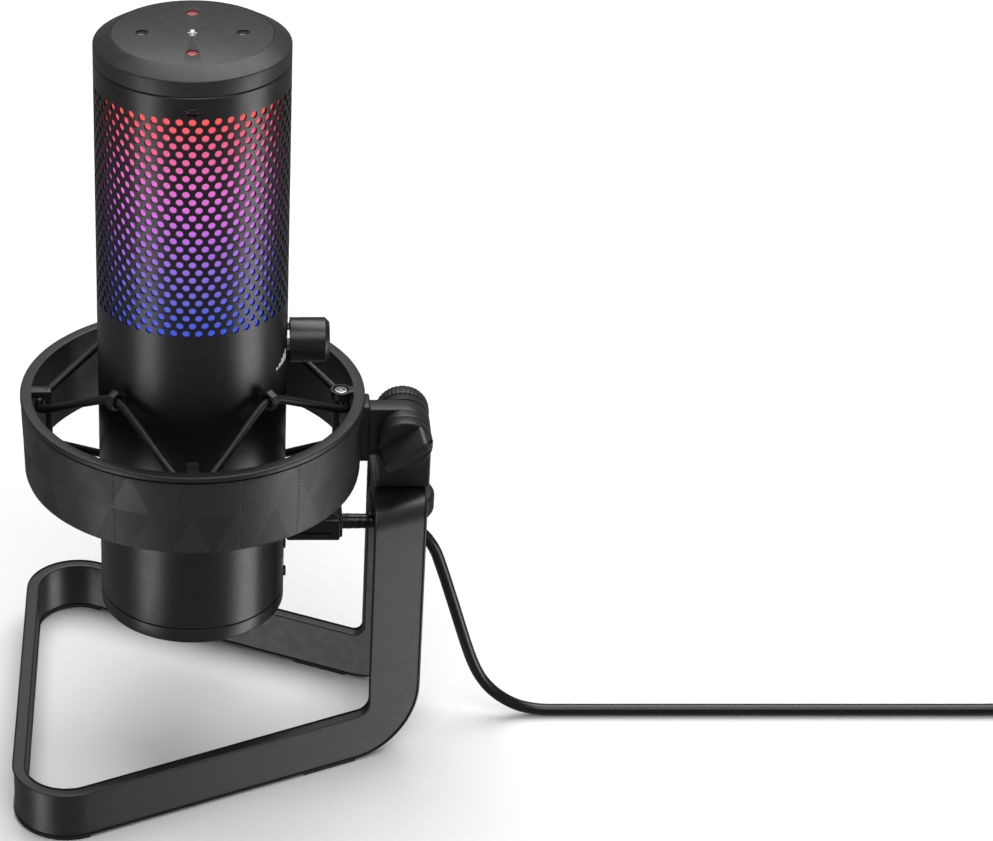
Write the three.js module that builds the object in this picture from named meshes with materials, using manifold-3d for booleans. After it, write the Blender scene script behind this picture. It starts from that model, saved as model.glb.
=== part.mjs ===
// Desktop microphone. A round condenser microphone with a lit grille hangs on elastic cord inside a ring.
// The ring's arm tilts in a fork, and the fork stands on a table stand bent from flat bar. Millimetres, +Z
// up. The front, where the speaker sits, is -Y, and the stand's two uprights are on the +X side. The origin
// is the middle of the footprint's box, on the table. Heights are above the table, and X and Y are from the
// microphone's own axis.
import * as THREE from "three";
import { mergeVertices } from "three/addons/utils/BufferGeometryUtils.js";
import Module from "manifold-3d";

const wasm = await Module();
wasm.setup();

// ---------------------------------------------------------------- driving dimensions
const gap = 0.3; // clearance between separate pieces
const over = 1; // how far a cutting shape runs past the face it cuts
// steps round a circle or arc
const smooth = {
  rod: 24, small: 16, tiny: 12, round: 40, curve: 12, halfTurn: 16,
};

const mic = {
  radius: 27.5, wall: 1.5, bottom: 45.3, baseSeam: 50.2, capSeam: 221.6,
  chamferStart: 226.2, top: 228.9, topFaceRadius: 22.8, sides: 40,
};
const inside = mic.radius - mic.wall;
const baseCap = { ease: 0.8, floor: 2.0, spigot: 1.1, spigotWall: 1.8 };
const baseScrew = {
  x: 15, head: 2.0, headTop: 0.8, shank: 1.0, from: 0.1, seat: 0.5, length: 6, well: 1.1, bore: 4,
};
const topCap = { spigot: 2.4, spigotWall: 1.6, rim: 0.1 };
const ledge = { inner: 19.5, top: 226.6, under: 225.6 };
const plate = { radius: mic.topFaceRadius - 0.4, under: 226.9 };
const lens = { ring: 13.9, radius: 1.6, under: 226.0, sunk: 0.05, gap: 0.15 };
const touchBoard = { inner: 3, outer: 20, thick: 1.6 };

const glow = { bottom: 146, top: 217, radius: 25.7, wall: 1.4, short: 1.6 }; // diffuser behind the holes
const lightBoard = { half: 9, near: 20.0, far: 21.5, inset: 4 };
const chassis = { left: -18, right: 8.2, half: 1.2, bottom: 53, top: 150, neck: 3, neckGap: 3 };
const capsule = { height: 190, radius: 8.5, halfLength: 6 };
const cradle = { wall: 2.6, halfLength: 7 };
const mainBoard = { near: 8.6, far: 10.2, half: 16, bottom: 53, top: 124 };

// heights on the microphone's right side
const sockets = {
  usb: 71.0, jack: 64.2, button: 53.4, gain: 133.0,
};
const wallCut = { from: 20, to: 30 }; // reaches through the wall on either side of its surface
const usbSlot = { half: 5.0, halfTall: 2.3 };
const usbSocket = {
  back: 16.5, outwards: 0.4, half: 4.6, halfTall: 1.9, floor: 18, innerHalf: 4.35, innerHalfTall: 1.55,
};
const jack = { radius: 2.4, hole: 1.8, proud: 0.5, inner: 14, floor: 1.5 };
const button = { radius: 1.6, proud: 0.7, inner: 24.0 };
const buttonSwitch = { from: 19.4, to: 23.1, half: 3, below: 1.6, above: 1.8 };
const gain = {
  radius: 6.5, from: mic.radius + 0.6, to: 39.6, shaft: 3.0, ease: 1.3, sides: 32, wallGap: 0.6,
};
const gainShaft = { from: 16.3, short: 4.3, bore: 4, sides: 20 };
const gainPot = { to: 16, half: 6 };
const muteSlot = { half: 1.5, halfTall: 0.9, height: 217.4, sunk: 0.1, inwards: 0.2 };

const ring = {
  inner: 46.9, wallOuter: 48.6, rimOuter: 50.4, footOuter: 49.6, bottom: 91.2, top: 116.5, sides: 56,
};
const rim = { thick: 1.6, ease: 0.4 };
const band = { inner: ring.wallOuter + gap, outer: ring.rimOuter - 0.1, top: ring.top - rim.thick - gap };
const post = {
  inner: 41.2, outer: 43.0, width: 3.6, midLow: 102.2, midHigh: 105.2, endTall: 2.2, sunk: 0.8, lap: 0.4,
};
const tilt = { x: 62.2, z: 103.5, eyeRadius: 7.8, armHalf: 3.0, bore: 2.8, shank: 2.5 };
const arm = {
  flangeX: 52.0, flangeHalf: 4.2, flangeLow: 94.2, flangeHigh: 112.8, sunk: 0.8, flangeSunk: 0.9,
};
const boss = { x: 43.4, radius: 3.2, depth: 2.6 };
const screw = {
  head: 2.0, shank: 1.0, headTall: 1.0, sunk: 0.1, lap: 0.5, length: 1.4, well: 1.4, bore: 3.7,
};

const elastic = {
  radius: 1.3, sides: 6, steps: 72, trackRadius: 45.0, upperPost: 111.2, upperClip: 125.2, lowerPost: 97.2,
  lowerClip: 81.2, endSide: 0.2, postSide: 1.6, leaveSide: 3.6, leaveIn: 0.8, leaveRise: 0.04,
  sag: 0.75, spread: 5,
};
const clip = { centre: 30.9, outer: 3.1, hole: 2.1, width: 2.4, sides: 8, footIn: 1.8, footHalf: 1.6 };

const bar = {
  thick: 4.0, padHeight: 0.8, stripHeight: 15.6, top: 86.6, slant: THREE.MathUtils.degToRad(25.2),
  foldOuter: 6.5, foldInner: 2.5, bendOuter: 21, bendInner: 3.5,
};
const plan = {
  left: -53.3, faceAtAxis: 47.855, cornerRadius: 16.25, upLeft: 53.3, upRight: 69.0,
  joinX: -20, // where the side plates meet the rounded left end
};
const pad = { thick: bar.padHeight - 0.05, inset: 0.4, cornerX: -30, cornerY: 30, from: 33, to: 49 };

const fork = {
  left: 54.4, right: 70.0, halfWidth: 6.7, slotHalf: 3.3, slotFloor: 92.5, bottom: bar.top + gap,
};
const forkTab = { left: 0.6, right: 1.2, front: 0.35, back: 1, tall: 1.75 };
const stud = { radius: 4.55, bore: 4.85, foot: 2.1, well: 1.8 };
const knob = { radius: 9.9, bottom: 75.2, top: 82.3, ease: 1.3, sides: 36 };
const nut = { radius: 8.0, from: fork.halfWidth + gap, to: 11.5, sides: 36, screwShort: 0.4 };
const grip = {
  discRadius: 7.9, back: -7.0, face: -11.0, tip: -18.0, baseHalf: 3.3, tipHalf: 1.35, half: 7.8,
  turn: THREE.MathUtils.degToRad(34), lap: 0.5, well: 1.5, screwIn: 1.8,
};

const cord = { radius: 1.8, sides: 8, runSteps: 48, tailSteps: 16 };
const plug = { from: mic.radius + 0.6, to: 44.8, half: 5.6, halfTall: 4.0, corner: 1.5 };
const plugShell = { from: 19.5, half: 4.0, halfTall: 1.2 };
const relief = { radius: 2.35, sides: 8, steps: 8, bendX: 58, bendRadius: 16 };
const coil = { x: 286, radius: 20, turns: 3, layers: 4, lift: 0.8, spread: 1.04, sides: 48, leave: 0.4 };
const tie = { half: 4, thick: 0.5, low: 0.1, under: 0.2, inwards: 0.6, azimuth: -100 };
const host = { x: 320, from: -25.3, gripEnd: -47, half: 5.8, tall: 7.4 };
const hostShell = { half: 6, end: -59.5, low: 1.4, high: 5.9, wall: 0.4, wallTall: 0.35, floor: 2 };

const pitch = 2 * cord.radius * coil.spread;
const coilOuterTurn = coil.radius + (coil.turns / 2) * pitch;
const coilEdge = coilOuterTurn + cord.radius;
const coilInner = coil.radius * 2 - coilEdge;
const coilTop = coil.lift + cord.radius * 2 + pitch * (coil.layers - 1);
const nearCoil = Math.sqrt(coilEdge ** 2 - (coilOuterTurn - cord.radius) ** 2) + coil.leave;

// The cable's path beside the stand and over the table, as X and height.
const runPath = [
  [62.5, 70.36], [66.0, 68.9], [69.0, 66.7], [71.5, 63.6], [73.4, 60.0], [75.4, 54.3], [79.1, 42.5],
  [84.1, 26.2], [86.3, 19.9], [88.9, 14.4], [92.2, 9.9], [96.4, 6.2], [101.5, 3.4], [108, 1.95],
  [116, 1.8], [140, 1.8], [180, 1.8], [220, 1.8], [250, 1.9], [coil.x - nearCoil, 2.5],
];
// The cable's path from the top of the coil to its far plug.
const tailPath = [
  [coil.x + nearCoil, 0, coilTop - cord.radius - 0.6], [305, -0.9, 10.6], [312, -4.4, 7.2],
  [317, -10, 4.9], [319.4, -17, 3.9], [320, -25, 3.7],
];

const X = new THREE.Vector3(1, 0, 0);
const Y = new THREE.Vector3(0, 1, 0);
const Z = new THREE.Vector3(0, 0, 1);
const frontAndRear = [["front", -1], ["rear", 1]];
const quarters = [["front", 0], ["right", 90], ["rear", 180], ["left", 270]];
const corners = [["front_right", 45], ["rear_right", 135], ["rear_left", 225], ["front_left", 315]];

// ---------------------------------------------------------------- materials
function paint(color, roughness, metalness = 0) {
  return new THREE.MeshStandardMaterial({ color, roughness, metalness });
}

const satinBlack = paint(0x29282a, 0.42, 0.3);
const capBlack = paint(0x343335, 0.45, 0.2);
const powderBlack = paint(0x2b2a2b, 0.55, 0.4);
const mouldedBlack = paint(0x232324, 0.55);
const bandBlack = paint(0x2f2d2e, 0.7);
const rubberBlack = paint(0x1a1a1a, 0.85);
const cordBlack = paint(0x1c1c1d, 0.5);
const elasticBlack = paint(0x262526, 0.9);
const steel = paint(0xb9bbbf, 0.3, 1);
const darkSteel = paint(0x3a3a3c, 0.4, 1);
const board = paint(0x14321f, 0.6);
const diffuse = paint(0xf1eef4, 0.6);
const lensLit = paint(0xe0281c, 0.3);
const lensDark = paint(0x1d1c1e, 0.25);
const brassGold = paint(0xc9a45a, 0.35, 1);

// ---------------------------------------------------------------- tools for shapes
/** A closed solid from a geometry: only positions, shared corners merged, faces turned outwards. */
function solid(geometry) {
  const bare = geometry.clone();
  for (const name of Object.keys(bare.attributes)) if (name !== "position") bare.deleteAttribute(name);
  bare.morphAttributes = {};
  const merged = mergeVertices(bare, 1e-4);
  const at = merged.attributes.position;
  const index = [];
  for (let i = 0; i < merged.index.count; i += 3) {
    const corners = [0, 1, 2].map((k) => merged.index.getX(i + k));
    if (new Set(corners).size === 3) index.push(...corners);
  }
  const p = new THREE.Vector3();
  const q = new THREE.Vector3();
  const r = new THREE.Vector3();
  let volume = 0;
  for (let i = 0; i < index.length; i += 3) {
    p.fromBufferAttribute(at, index[i]);
    q.fromBufferAttribute(at, index[i + 1]);
    r.fromBufferAttribute(at, index[i + 2]);
    volume += p.dot(q.cross(r));
  }
  if (volume < 0) index.reverse();
  const vertProperties = new Float32Array(at.array);
  const triVerts = new Uint32Array(index);
  return new wasm.Manifold(new wasm.Mesh({ numProp: 3, vertProperties, triVerts }));
}

/** The geometry of a solid. */
function geometryOf(body) {
  const mesh = body.getMesh();
  const geometry = new THREE.BufferGeometry();
  geometry.setAttribute("position", new THREE.BufferAttribute(new Float32Array(mesh.vertProperties), 3));
  geometry.setIndex(Array.from(mesh.triVerts));
  geometry.computeVertexNormals();
  return geometry;
}

/** A turned piece about +Z. The profile is a closed list of [radius, height]. */
function turned(profile, sides = mic.sides) {
  const points = [...profile, profile[0]].map(([r, z]) => new THREE.Vector2(r, z));
  return solid(new THREE.LatheGeometry(points, sides).rotateX(Math.PI / 2));
}

/** A turned tube or disc about +Z. */
const tube = (inner, outer, low, high, sides = mic.sides) =>
  turned([[inner, low], [outer, low], [outer, high], [inner, high]], sides);

/** A round bar from one point to another. */
function rod(radius, from, to, sides = smooth.rod) {
  const start = new THREE.Vector3(...from);
  const way = new THREE.Vector3(...to).sub(start);
  const middle = way.clone().multiplyScalar(0.5).add(start);
  const geometry = new THREE.CylinderGeometry(radius, radius, way.length(), sides);
  geometry.applyQuaternion(new THREE.Quaternion().setFromUnitVectors(Y, way.normalize()));
  return solid(geometry.translate(...middle.toArray()));
}

/** A block between two opposite corners. */
function block(low, high) {
  const size = low.map((v, i) => high[i] - v);
  const middle = low.map((v, i) => (high[i] + v) / 2);
  return solid(new THREE.BoxGeometry(...size).translate(...middle));
}

/** A flat outline in the plane of two directions, pushed along the third. */
function pushed(outline, depth, xWay, yWay, start, curveSegments = smooth.curve) {
  const zWay = new THREE.Vector3().crossVectors(xWay, yWay);
  const geometry = new THREE.ExtrudeGeometry(outline, { depth, bevelEnabled: false, curveSegments });
  const place = new THREE.Matrix4().makeBasis(xWay, yWay, zWay).setPosition(start);
  return solid(geometry.applyMatrix4(place));
}

/** A straight-sided outline with its corners rounded: each corner is [x, y, radius]. */
function roundedOutline(corners) {
  const points = [];
  corners.forEach(([x, y, radius], i) => {
    const here = new THREE.Vector2(x, y);
    const before = new THREE.Vector2(...corners.at(i - 1)).sub(here).normalize();
    const after = new THREE.Vector2(...corners[(i + 1) % corners.length]).sub(here).normalize();
    if (!radius) return points.push(here);
    const half = Math.acos(THREE.MathUtils.clamp(before.dot(after), -1, 1)) / 2;
    const centre = before.clone().add(after).normalize().multiplyScalar(radius / Math.sin(half)).add(here);
    const from = before.clone().multiplyScalar(radius / Math.tan(half)).add(here).sub(centre);
    const to = after.clone().multiplyScalar(radius / Math.tan(half)).add(here).sub(centre);
    const sweep = Math.atan2(from.cross(to), from.dot(to));
    const steps = Math.max(2, Math.round((Math.abs(sweep) / Math.PI) * smooth.halfTurn));
    for (let k = 0; k <= steps; k++) {
      points.push(from.clone().rotateAround(new THREE.Vector2(), (sweep * k) / steps).add(centre));
    }
  });
  return new THREE.Shape(points);
}

/** A round tube along a smooth curve through the points. */
function along(points, radius, sides, steps) {
  const through = points.map((p) => new THREE.Vector3(...p));
  const path = new THREE.CatmullRomCurve3(through, false, "centripetal");
  const section = new THREE.Shape(
    Array.from({ length: sides }, (_, k) => {
      const turn = ((k + 0.5) / sides) * 2 * Math.PI;
      return new THREE.Vector2(radius * Math.cos(turn), radius * Math.sin(turn));
    }),
  );
  return solid(new THREE.ExtrudeGeometry(section, { steps, extrudePath: path, bevelEnabled: false }));
}

/** A point at a radius, an azimuth in degrees from the front towards +X, and a height. */
function around(radius, azimuth, height) {
  const turn = THREE.MathUtils.degToRad(azimuth);
  return [radius * Math.sin(turn), -radius * Math.cos(turn), height];
}

/** A solid moved, turned or mirrored by a matrix. */
const placed = (body, matrix) => solid(geometryOf(body).applyMatrix4(matrix));

/** Turns a solid made at the front, azimuth 0, to another azimuth. */
function turnTo(body, azimuth) {
  return placed(body, new THREE.Matrix4().makeRotationZ(THREE.MathUtils.degToRad(azimuth)));
}

/** A round bar along X through (y, z). */
const rodX = (radius, from, to, y, z, sides) => rod(radius, [from, y, z], [to, y, z], sides);

/** A round bar along Y through (x, z). */
const rodY = (radius, from, to, x, z, sides) => rod(radius, [x, from, z], [x, to, z], sides);

/** A round bar along Z through (x, y). */
const rodZ = (radius, from, to, x, y, sides) => rod(radius, [x, y, from], [x, y, to], sides);

/** Adds a named sub-part to a group. */
function add(group, name, body, material) {
  const mesh = new THREE.Mesh(geometryOf(body), material);
  mesh.name = name;
  group.add(mesh);
}

// ---------------------------------------------------------------- stand
/**
 * One side's plate: strip, upright and half of the bridge, bent from one bar. side is -1 in front, 1
 * behind.
 */
function sidePlate(side) {
  const sin = Math.sin(bar.slant);
  const cos = Math.cos(bar.slant);
  const foldTop = bar.top - bar.foldOuter;
  const reach = 60; // how far in the bridge's half is drawn before it is cut at the middle
  const section = new THREE.Shape();
  section.moveTo(0, bar.padHeight);
  section.lineTo(0, foldTop);
  section.absarc(bar.foldOuter, foldTop, bar.foldOuter, Math.PI, Math.PI / 2, true);
  section.lineTo(reach, bar.top);
  section.lineTo(reach, bar.top - bar.thick);
  section.lineTo(bar.foldOuter, bar.top - bar.thick);
  section.absarc(bar.foldOuter, foldTop, bar.foldInner, Math.PI / 2, Math.PI, false);
  section.lineTo(bar.thick, bar.padHeight);
  const run = 160; // longer than the plate, which is cut to its outline
  const along = new THREE.Vector3(cos, sin, 0);
  const inward = new THREE.Vector3(-sin, cos, 0);
  const start = new THREE.Vector3(0, -plan.faceAtAxis, 0).addScaledVector(along, -run / 2);
  const bent = pushed(section, run, inward, Z, start, 6);

  const outer = { x: bar.bendOuter * cos, z: bar.bendOuter };
  const inner = { x: bar.bendInner * cos, z: bar.bendInner };
  const stripTop = bar.padHeight + bar.stripHeight;
  const outerX = plan.upRight - outer.x;
  const innerX = plan.upLeft - inner.x;
  const outline = new THREE.Shape();
  outline.moveTo(plan.joinX, bar.padHeight - over);
  outline.lineTo(outerX, bar.padHeight - over);
  outline.lineTo(outerX, bar.padHeight);
  outline.absellipse(outerX, bar.padHeight + outer.z, outer.x, outer.z, -Math.PI / 2, 0, false);
  outline.lineTo(plan.upRight, bar.top + over);
  outline.lineTo(plan.upLeft, bar.top + over);
  outline.lineTo(plan.upLeft, stripTop + inner.z);
  outline.absellipse(innerX, stripTop + inner.z, inner.x, inner.z, 0, -Math.PI / 2, true);
  outline.lineTo(plan.joinX, stripTop);
  const depth = 90; // deeper than the plate reaches from the middle
  const lap = 0.5; // how far past the middle, so that both halves join
  const half = bent.intersect(pushed(outline, depth, X, Z, new THREE.Vector3(0, lap, 0), 8));
  if (side < 0) return half;
  return placed(half, new THREE.Matrix4().makeScale(1, -1, 1));
}

/** Outline, seen from above, of the base bar's left end, shrunk by inset on both faces. */
function leftEndOutline(inset) {
  const faceY = (x, off) => plan.faceAtAxis - Math.tan(bar.slant) * x - off / Math.cos(bar.slant);
  const face = (off, radius) => [
    [plan.joinX, -faceY(plan.joinX, off), 0],
    [plan.left + off, -faceY(plan.left + off, off), radius],
    [plan.left + off, faceY(plan.left + off, off), radius],
    [plan.joinX, faceY(plan.joinX, off), 0],
  ];
  const outside = face(inset, plan.cornerRadius - inset);
  const within = face(bar.thick - inset, plan.cornerRadius - bar.thick + inset);
  return roundedOutline([...outside, ...within.reverse()]);
}

/** A thin pad under the base bar's left corner. */
function cornerPad(side) {
  const wholeEnd = pushed(leftEndOutline(pad.inset), pad.thick, X, Y, new THREE.Vector3());
  const reach = 80;
  const [near, far] = [side * pad.cornerY, side * reach].sort((a, b) => a - b);
  return wholeEnd.intersect(block([-reach, near, -over], [pad.cornerX, far, bar.padHeight + over]));
}

/** A thin pad under the base bar near an upright. */
function uprightPad(side) {
  const cos = Math.cos(bar.slant);
  const middleX = (pad.from + pad.to) / 2;
  const middleY = plan.faceAtAxis - Math.tan(bar.slant) * middleX - bar.thick / 2 / cos;
  const shape = new THREE.BoxGeometry((pad.to - pad.from) / cos, bar.thick - 2 * pad.inset, pad.thick);
  shape.rotateZ(-side * bar.slant);
  shape.translate(middleX, side * middleY, pad.thick / 2);
  return solid(shape);
}

const stand = new THREE.Group();
const endStart = new THREE.Vector3(0, 0, bar.padHeight);
const leftEnd = pushed(leftEndOutline(0), bar.stripHeight, X, Y, endStart);
const studHole = rodZ(stud.bore, bar.top - bar.thick - over, bar.top + over, tilt.x, 0);
const standFrame = sidePlate(-1)
  .add(sidePlate(1))
  .add(leftEnd)
  .subtract(studHole);
add(stand, "stand_frame", standFrame, powderBlack);
for (const [place, side] of frontAndRear) {
  add(stand, `foot_pad_left_${place}`, cornerPad(side), rubberBlack);
  add(stand, `foot_pad_right_${place}`, uprightPad(side), rubberBlack);
}

// ---------------------------------------------------------------- lock knob under the bridge
const lock = new THREE.Group();
lock.position.set(tilt.x, 0, 0);
const lockProfile = [
  [0, knob.bottom], [knob.radius - knob.ease, knob.bottom], [knob.radius, knob.bottom + knob.ease],
  [knob.radius, knob.top - knob.ease], [knob.radius - knob.ease, knob.top], [0, knob.top],
];
const lockWell = rodZ(stud.bore, knob.bottom + stud.well, knob.top + over, 0, 0);
add(lock, "lock_knob", turned(lockProfile, knob.sides).subtract(lockWell), mouldedBlack);
const studSolid = rodZ(stud.radius, knob.bottom + stud.foot, fork.slotFloor - gap, 0, 0);
add(lock, "lock_stud", studSolid, darkSteel);

// ---------------------------------------------------------------- fork and its clamp screw
const swivel = new THREE.Group();
const tabLow = [fork.left - forkTab.left, -fork.halfWidth - forkTab.front, fork.bottom];
const tabHigh = [fork.left + forkTab.right, -fork.halfWidth + forkTab.back, fork.bottom + forkTab.tall];
const slotLow = [fork.left - over, -fork.slotHalf, fork.slotFloor];
const slotHigh = [fork.right + over, fork.slotHalf, tilt.z + tilt.eyeRadius + over];
const forkSolid = block([fork.left, -fork.halfWidth, fork.bottom], [fork.right, fork.halfWidth, tilt.z])
  .add(rodY(tilt.eyeRadius, -fork.halfWidth, fork.halfWidth, tilt.x, tilt.z, smooth.round))
  .add(block(tabLow, tabHigh))
  .subtract(block(slotLow, slotHigh))
  .subtract(rodY(tilt.bore, -fork.halfWidth - over, fork.halfWidth + over, tilt.x, tilt.z))
  .subtract(rodZ(stud.bore, fork.bottom - over, fork.slotFloor + over, tilt.x, 0));
add(swivel, "swivel_fork", forkSolid, mouldedBlack);
const nutSolid = rodY(nut.radius, nut.from, nut.to, tilt.x, tilt.z, nut.sides)
  .subtract(rodY(tilt.bore, 0, nut.to + over, tilt.x, tilt.z));
add(swivel, "clamp_nut", nutSolid, mouldedBlack);

const clamp = new THREE.Group();
clamp.position.set(tilt.x, 0, tilt.z);
const wingSection = new THREE.Shape([
  new THREE.Vector2(-grip.baseHalf, grip.face + grip.lap),
  new THREE.Vector2(-grip.baseHalf, grip.face),
  new THREE.Vector2(-grip.tipHalf, grip.tip),
  new THREE.Vector2(grip.tipHalf, grip.tip),
  new THREE.Vector2(grip.baseHalf, grip.face),
  new THREE.Vector2(grip.baseHalf, grip.face + grip.lap),
]);
const levelWing =
  pushed(wingSection, 2 * grip.half, Z.clone().negate(), Y, new THREE.Vector3(-grip.half, 0, 0));
const clampKnob = rodY(grip.discRadius, grip.face, grip.back, 0, 0, smooth.round)
  .add(placed(levelWing, new THREE.Matrix4().makeRotationY(-grip.turn)))
  .subtract(rodY(tilt.bore, grip.face + grip.well, 0, 0, 0));
add(clamp, "clamp_knob", clampKnob, mouldedBlack);
const clampScrew = rodY(tilt.shank, grip.face + grip.screwIn, nut.to - nut.screwShort, 0, 0);
add(clamp, "clamp_screw", clampScrew, steel);

// ---------------------------------------------------------------- ring, arm and elastic
const head = new THREE.Group();

/**
 * One inner post at the front: a bar that stands off the wall, held by three blocks, with windows between.
 */
function postSolid() {
  const half = post.width / 2;
  const levels = [
    [ring.bottom, ring.bottom + post.endTall],
    [post.midLow, post.midHigh],
    [ring.top - post.endTall, ring.top],
  ];
  let whole = block([-half, -post.outer, ring.bottom], [half, -post.inner, ring.top]);
  for (const [low, high] of levels) {
    whole = whole.add(block([-half, -ring.inner - post.sunk, low], [half, -post.outer + post.lap, high]));
  }
  return whole;
}

const wallProfile = [
  [ring.inner, ring.bottom], [ring.wallOuter, ring.bottom], [ring.wallOuter, ring.top - rim.thick],
  [ring.rimOuter, ring.top - rim.thick], [ring.rimOuter, ring.top - rim.ease],
  [ring.rimOuter - rim.ease, ring.top], [ring.inner, ring.top],
];
const armLow = [ring.inner + arm.sunk, -tilt.armHalf, tilt.z - tilt.eyeRadius];
const flangeLow = [ring.inner + arm.flangeSunk, -arm.flangeHalf, arm.flangeLow];
let ringSolid = turned(wallProfile, ring.sides)
  .add(block(armLow, [tilt.x, tilt.armHalf, tilt.z + tilt.eyeRadius]))
  .add(rodY(tilt.eyeRadius, -tilt.armHalf, tilt.armHalf, tilt.x, tilt.z, smooth.round))
  .add(block(flangeLow, [arm.flangeX, arm.flangeHalf, arm.flangeHigh]));
for (const [, azimuth] of quarters) ringSolid = ringSolid.add(turnTo(postSolid(), azimuth));
ringSolid = ringSolid
  .add(rodZ(boss.radius, ring.top - boss.depth, ring.top, boss.x, 0))
  .add(rodZ(boss.radius, ring.bottom, ring.bottom + boss.depth, boss.x, 0))
  .subtract(rodY(tilt.bore, -tilt.armHalf - over, tilt.armHalf + over, tilt.x, tilt.z));
const screwEnds = [["arm_screw_upper", ring.top, -1], ["arm_screw_lower", ring.bottom, 1]];
for (const [name, face, inwards] of screwEnds) {
  const outside = face - inwards * over;
  ringSolid = ringSolid
    .subtract(rodZ(screw.head + gap, outside, face + inwards * screw.well, boss.x, 0))
    .subtract(rodZ(screw.shank + gap, outside, face + inwards * screw.bore, boss.x, 0));
  const start = face + inwards * screw.sunk;
  const seat = start + inwards * screw.headTall;
  const tip = seat + inwards * screw.length;
  const screwSolid = rodZ(screw.head, start, seat, boss.x, 0)
    .add(rodZ(screw.shank, start + inwards * screw.lap, tip, boss.x, 0, smooth.tiny));
  add(head, name, screwSolid, steel);
}
add(head, "ring_frame", ringSolid, mouldedBlack);

const bandProfile = [
  [band.inner, ring.bottom], [ring.footOuter, ring.bottom], [band.outer, band.top], [band.inner, band.top],
];
const notchHalf = arm.flangeHalf + gap;
const notch = block([0, -notchHalf, arm.flangeLow - gap], [60, notchHalf, arm.flangeHigh + gap]);
add(head, "ring_band", turned(bandProfile, ring.sides).subtract(notch), bandBlack);

/** A point on a post's side: a radius at an azimuth, then sideways along the ring, and a height. */
function beside(radius, sideways, azimuth, height) {
  const [x, y] = around(radius, azimuth, 0);
  const turn = THREE.MathUtils.degToRad(azimuth);
  return [x + sideways * Math.cos(turn), y + sideways * Math.sin(turn), height];
}

/**
 * One loop of elastic: out to a post, round it, and back to a clip, four times. Its ends meet behind a
 * post.
 */
function elasticLoop(postHeight, clipHeight) {
  const track = elastic.trackRadius;
  const leaveHeight = postHeight + (clipHeight - postHeight) * elastic.leaveRise;
  const sagHeight = clipHeight - Math.sign(clipHeight - postHeight) * elastic.sag;
  const points = [beside(track, elastic.endSide, 270, postHeight)];
  for (const azimuth of [270, 0, 90, 180]) {
    const middle = azimuth + 45;
    points.push(
      beside(track, elastic.postSide, azimuth, postHeight),
      beside(track - elastic.leaveIn, elastic.leaveSide, azimuth, leaveHeight),
      beside(clip.centre, 0, middle - elastic.spread, sagHeight),
      beside(clip.centre, 0, middle, clipHeight),
      beside(clip.centre, 0, middle + elastic.spread, sagHeight),
      beside(track - elastic.leaveIn, -elastic.leaveSide, azimuth + 90, leaveHeight),
      beside(track, -elastic.postSide, azimuth + 90, postHeight),
    );
  }
  points.push(beside(track, -elastic.endSide, 270, postHeight));
  return along(points, elastic.radius, elastic.sides, elastic.steps);
}

add(head, "elastic_upper", elasticLoop(elastic.upperPost, elastic.upperClip), elasticBlack);
add(head, "elastic_lower", elasticLoop(elastic.lowerPost, elastic.lowerClip), elasticBlack);

// ---------------------------------------------------------------- microphone body
const body = new THREE.Group();

/** A round cutter through the microphone's right wall. */
const wallHole = (radius, height) => rodX(radius, wallCut.from, wallCut.to, 0, height, smooth.small);

const usbLow = [wallCut.from, -usbSlot.half, sockets.usb - usbSlot.halfTall];
const usbHigh = [wallCut.to, usbSlot.half, sockets.usb + usbSlot.halfTall];
const muteLow = [-muteSlot.half - gap, -wallCut.to, muteSlot.height - muteSlot.halfTall - gap];
const muteHigh = [muteSlot.half + gap, -wallCut.from, muteSlot.height + muteSlot.halfTall + gap];
const bodyTube = tube(inside, mic.radius, mic.baseSeam + gap, mic.capSeam - gap)
  .subtract(wallHole(gain.shaft + gain.wallGap, sockets.gain))
  .subtract(wallHole(jack.radius + gap, sockets.jack))
  .subtract(wallHole(button.radius + gap, sockets.button))
  .subtract(block(usbLow, usbHigh))
  .subtract(block(muteLow, muteHigh));
add(body, "body_tube", bodyTube, satinBlack);

const spigotTop = mic.baseSeam + baseCap.spigot;
const capFloor = mic.bottom + baseCap.floor;
let baseCapSolid = turned([
  [0, mic.bottom], [mic.radius - baseCap.ease, mic.bottom], [mic.radius, mic.bottom + baseCap.ease],
  [mic.radius, mic.baseSeam - gap], [inside - gap, mic.baseSeam - gap], [inside - gap, spigotTop],
  [inside - baseCap.spigotWall, spigotTop], [inside - baseCap.spigotWall, capFloor], [0, capFloor],
]);
for (const [name, side] of [["base_screw_left", -1], ["base_screw_right", 1]]) {
  const x = side * baseScrew.x;
  const under = mic.bottom - over;
  const from = mic.bottom + baseScrew.from;
  baseCapSolid = baseCapSolid
    .subtract(rodZ(baseScrew.shank + gap, under, mic.bottom + baseScrew.bore, x, 0, smooth.tiny))
    .subtract(rodZ(baseScrew.head + gap, under, mic.bottom + baseScrew.well, x, 0, smooth.small));
  const seat = mic.bottom + baseScrew.seat;
  const screwSolid = rodZ(baseScrew.head, from, mic.bottom + baseScrew.headTop, x, 0, smooth.small)
    .add(rodZ(baseScrew.shank, seat, mic.bottom + baseScrew.length, x, 0, smooth.tiny));
  add(body, name, screwSolid, steel);
}
add(body, "base_cap", baseCapSolid, satinBlack);

const rimInner = mic.topFaceRadius - topCap.rim;
const spigotUnder = mic.capSeam - topCap.spigot;
const topCapSolid = turned([
  [mic.radius, mic.capSeam + gap], [mic.radius, mic.chamferStart], [mic.topFaceRadius, mic.top],
  [rimInner, mic.top], [rimInner, ledge.top], [ledge.inner, ledge.top], [ledge.inner, ledge.under],
  [inside - topCap.spigotWall, ledge.under], [inside - topCap.spigotWall, spigotUnder],
  [inside - gap, spigotUnder], [inside - gap, mic.capSeam + gap],
]);
add(body, "top_cap", topCapSolid, capBlack);

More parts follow.
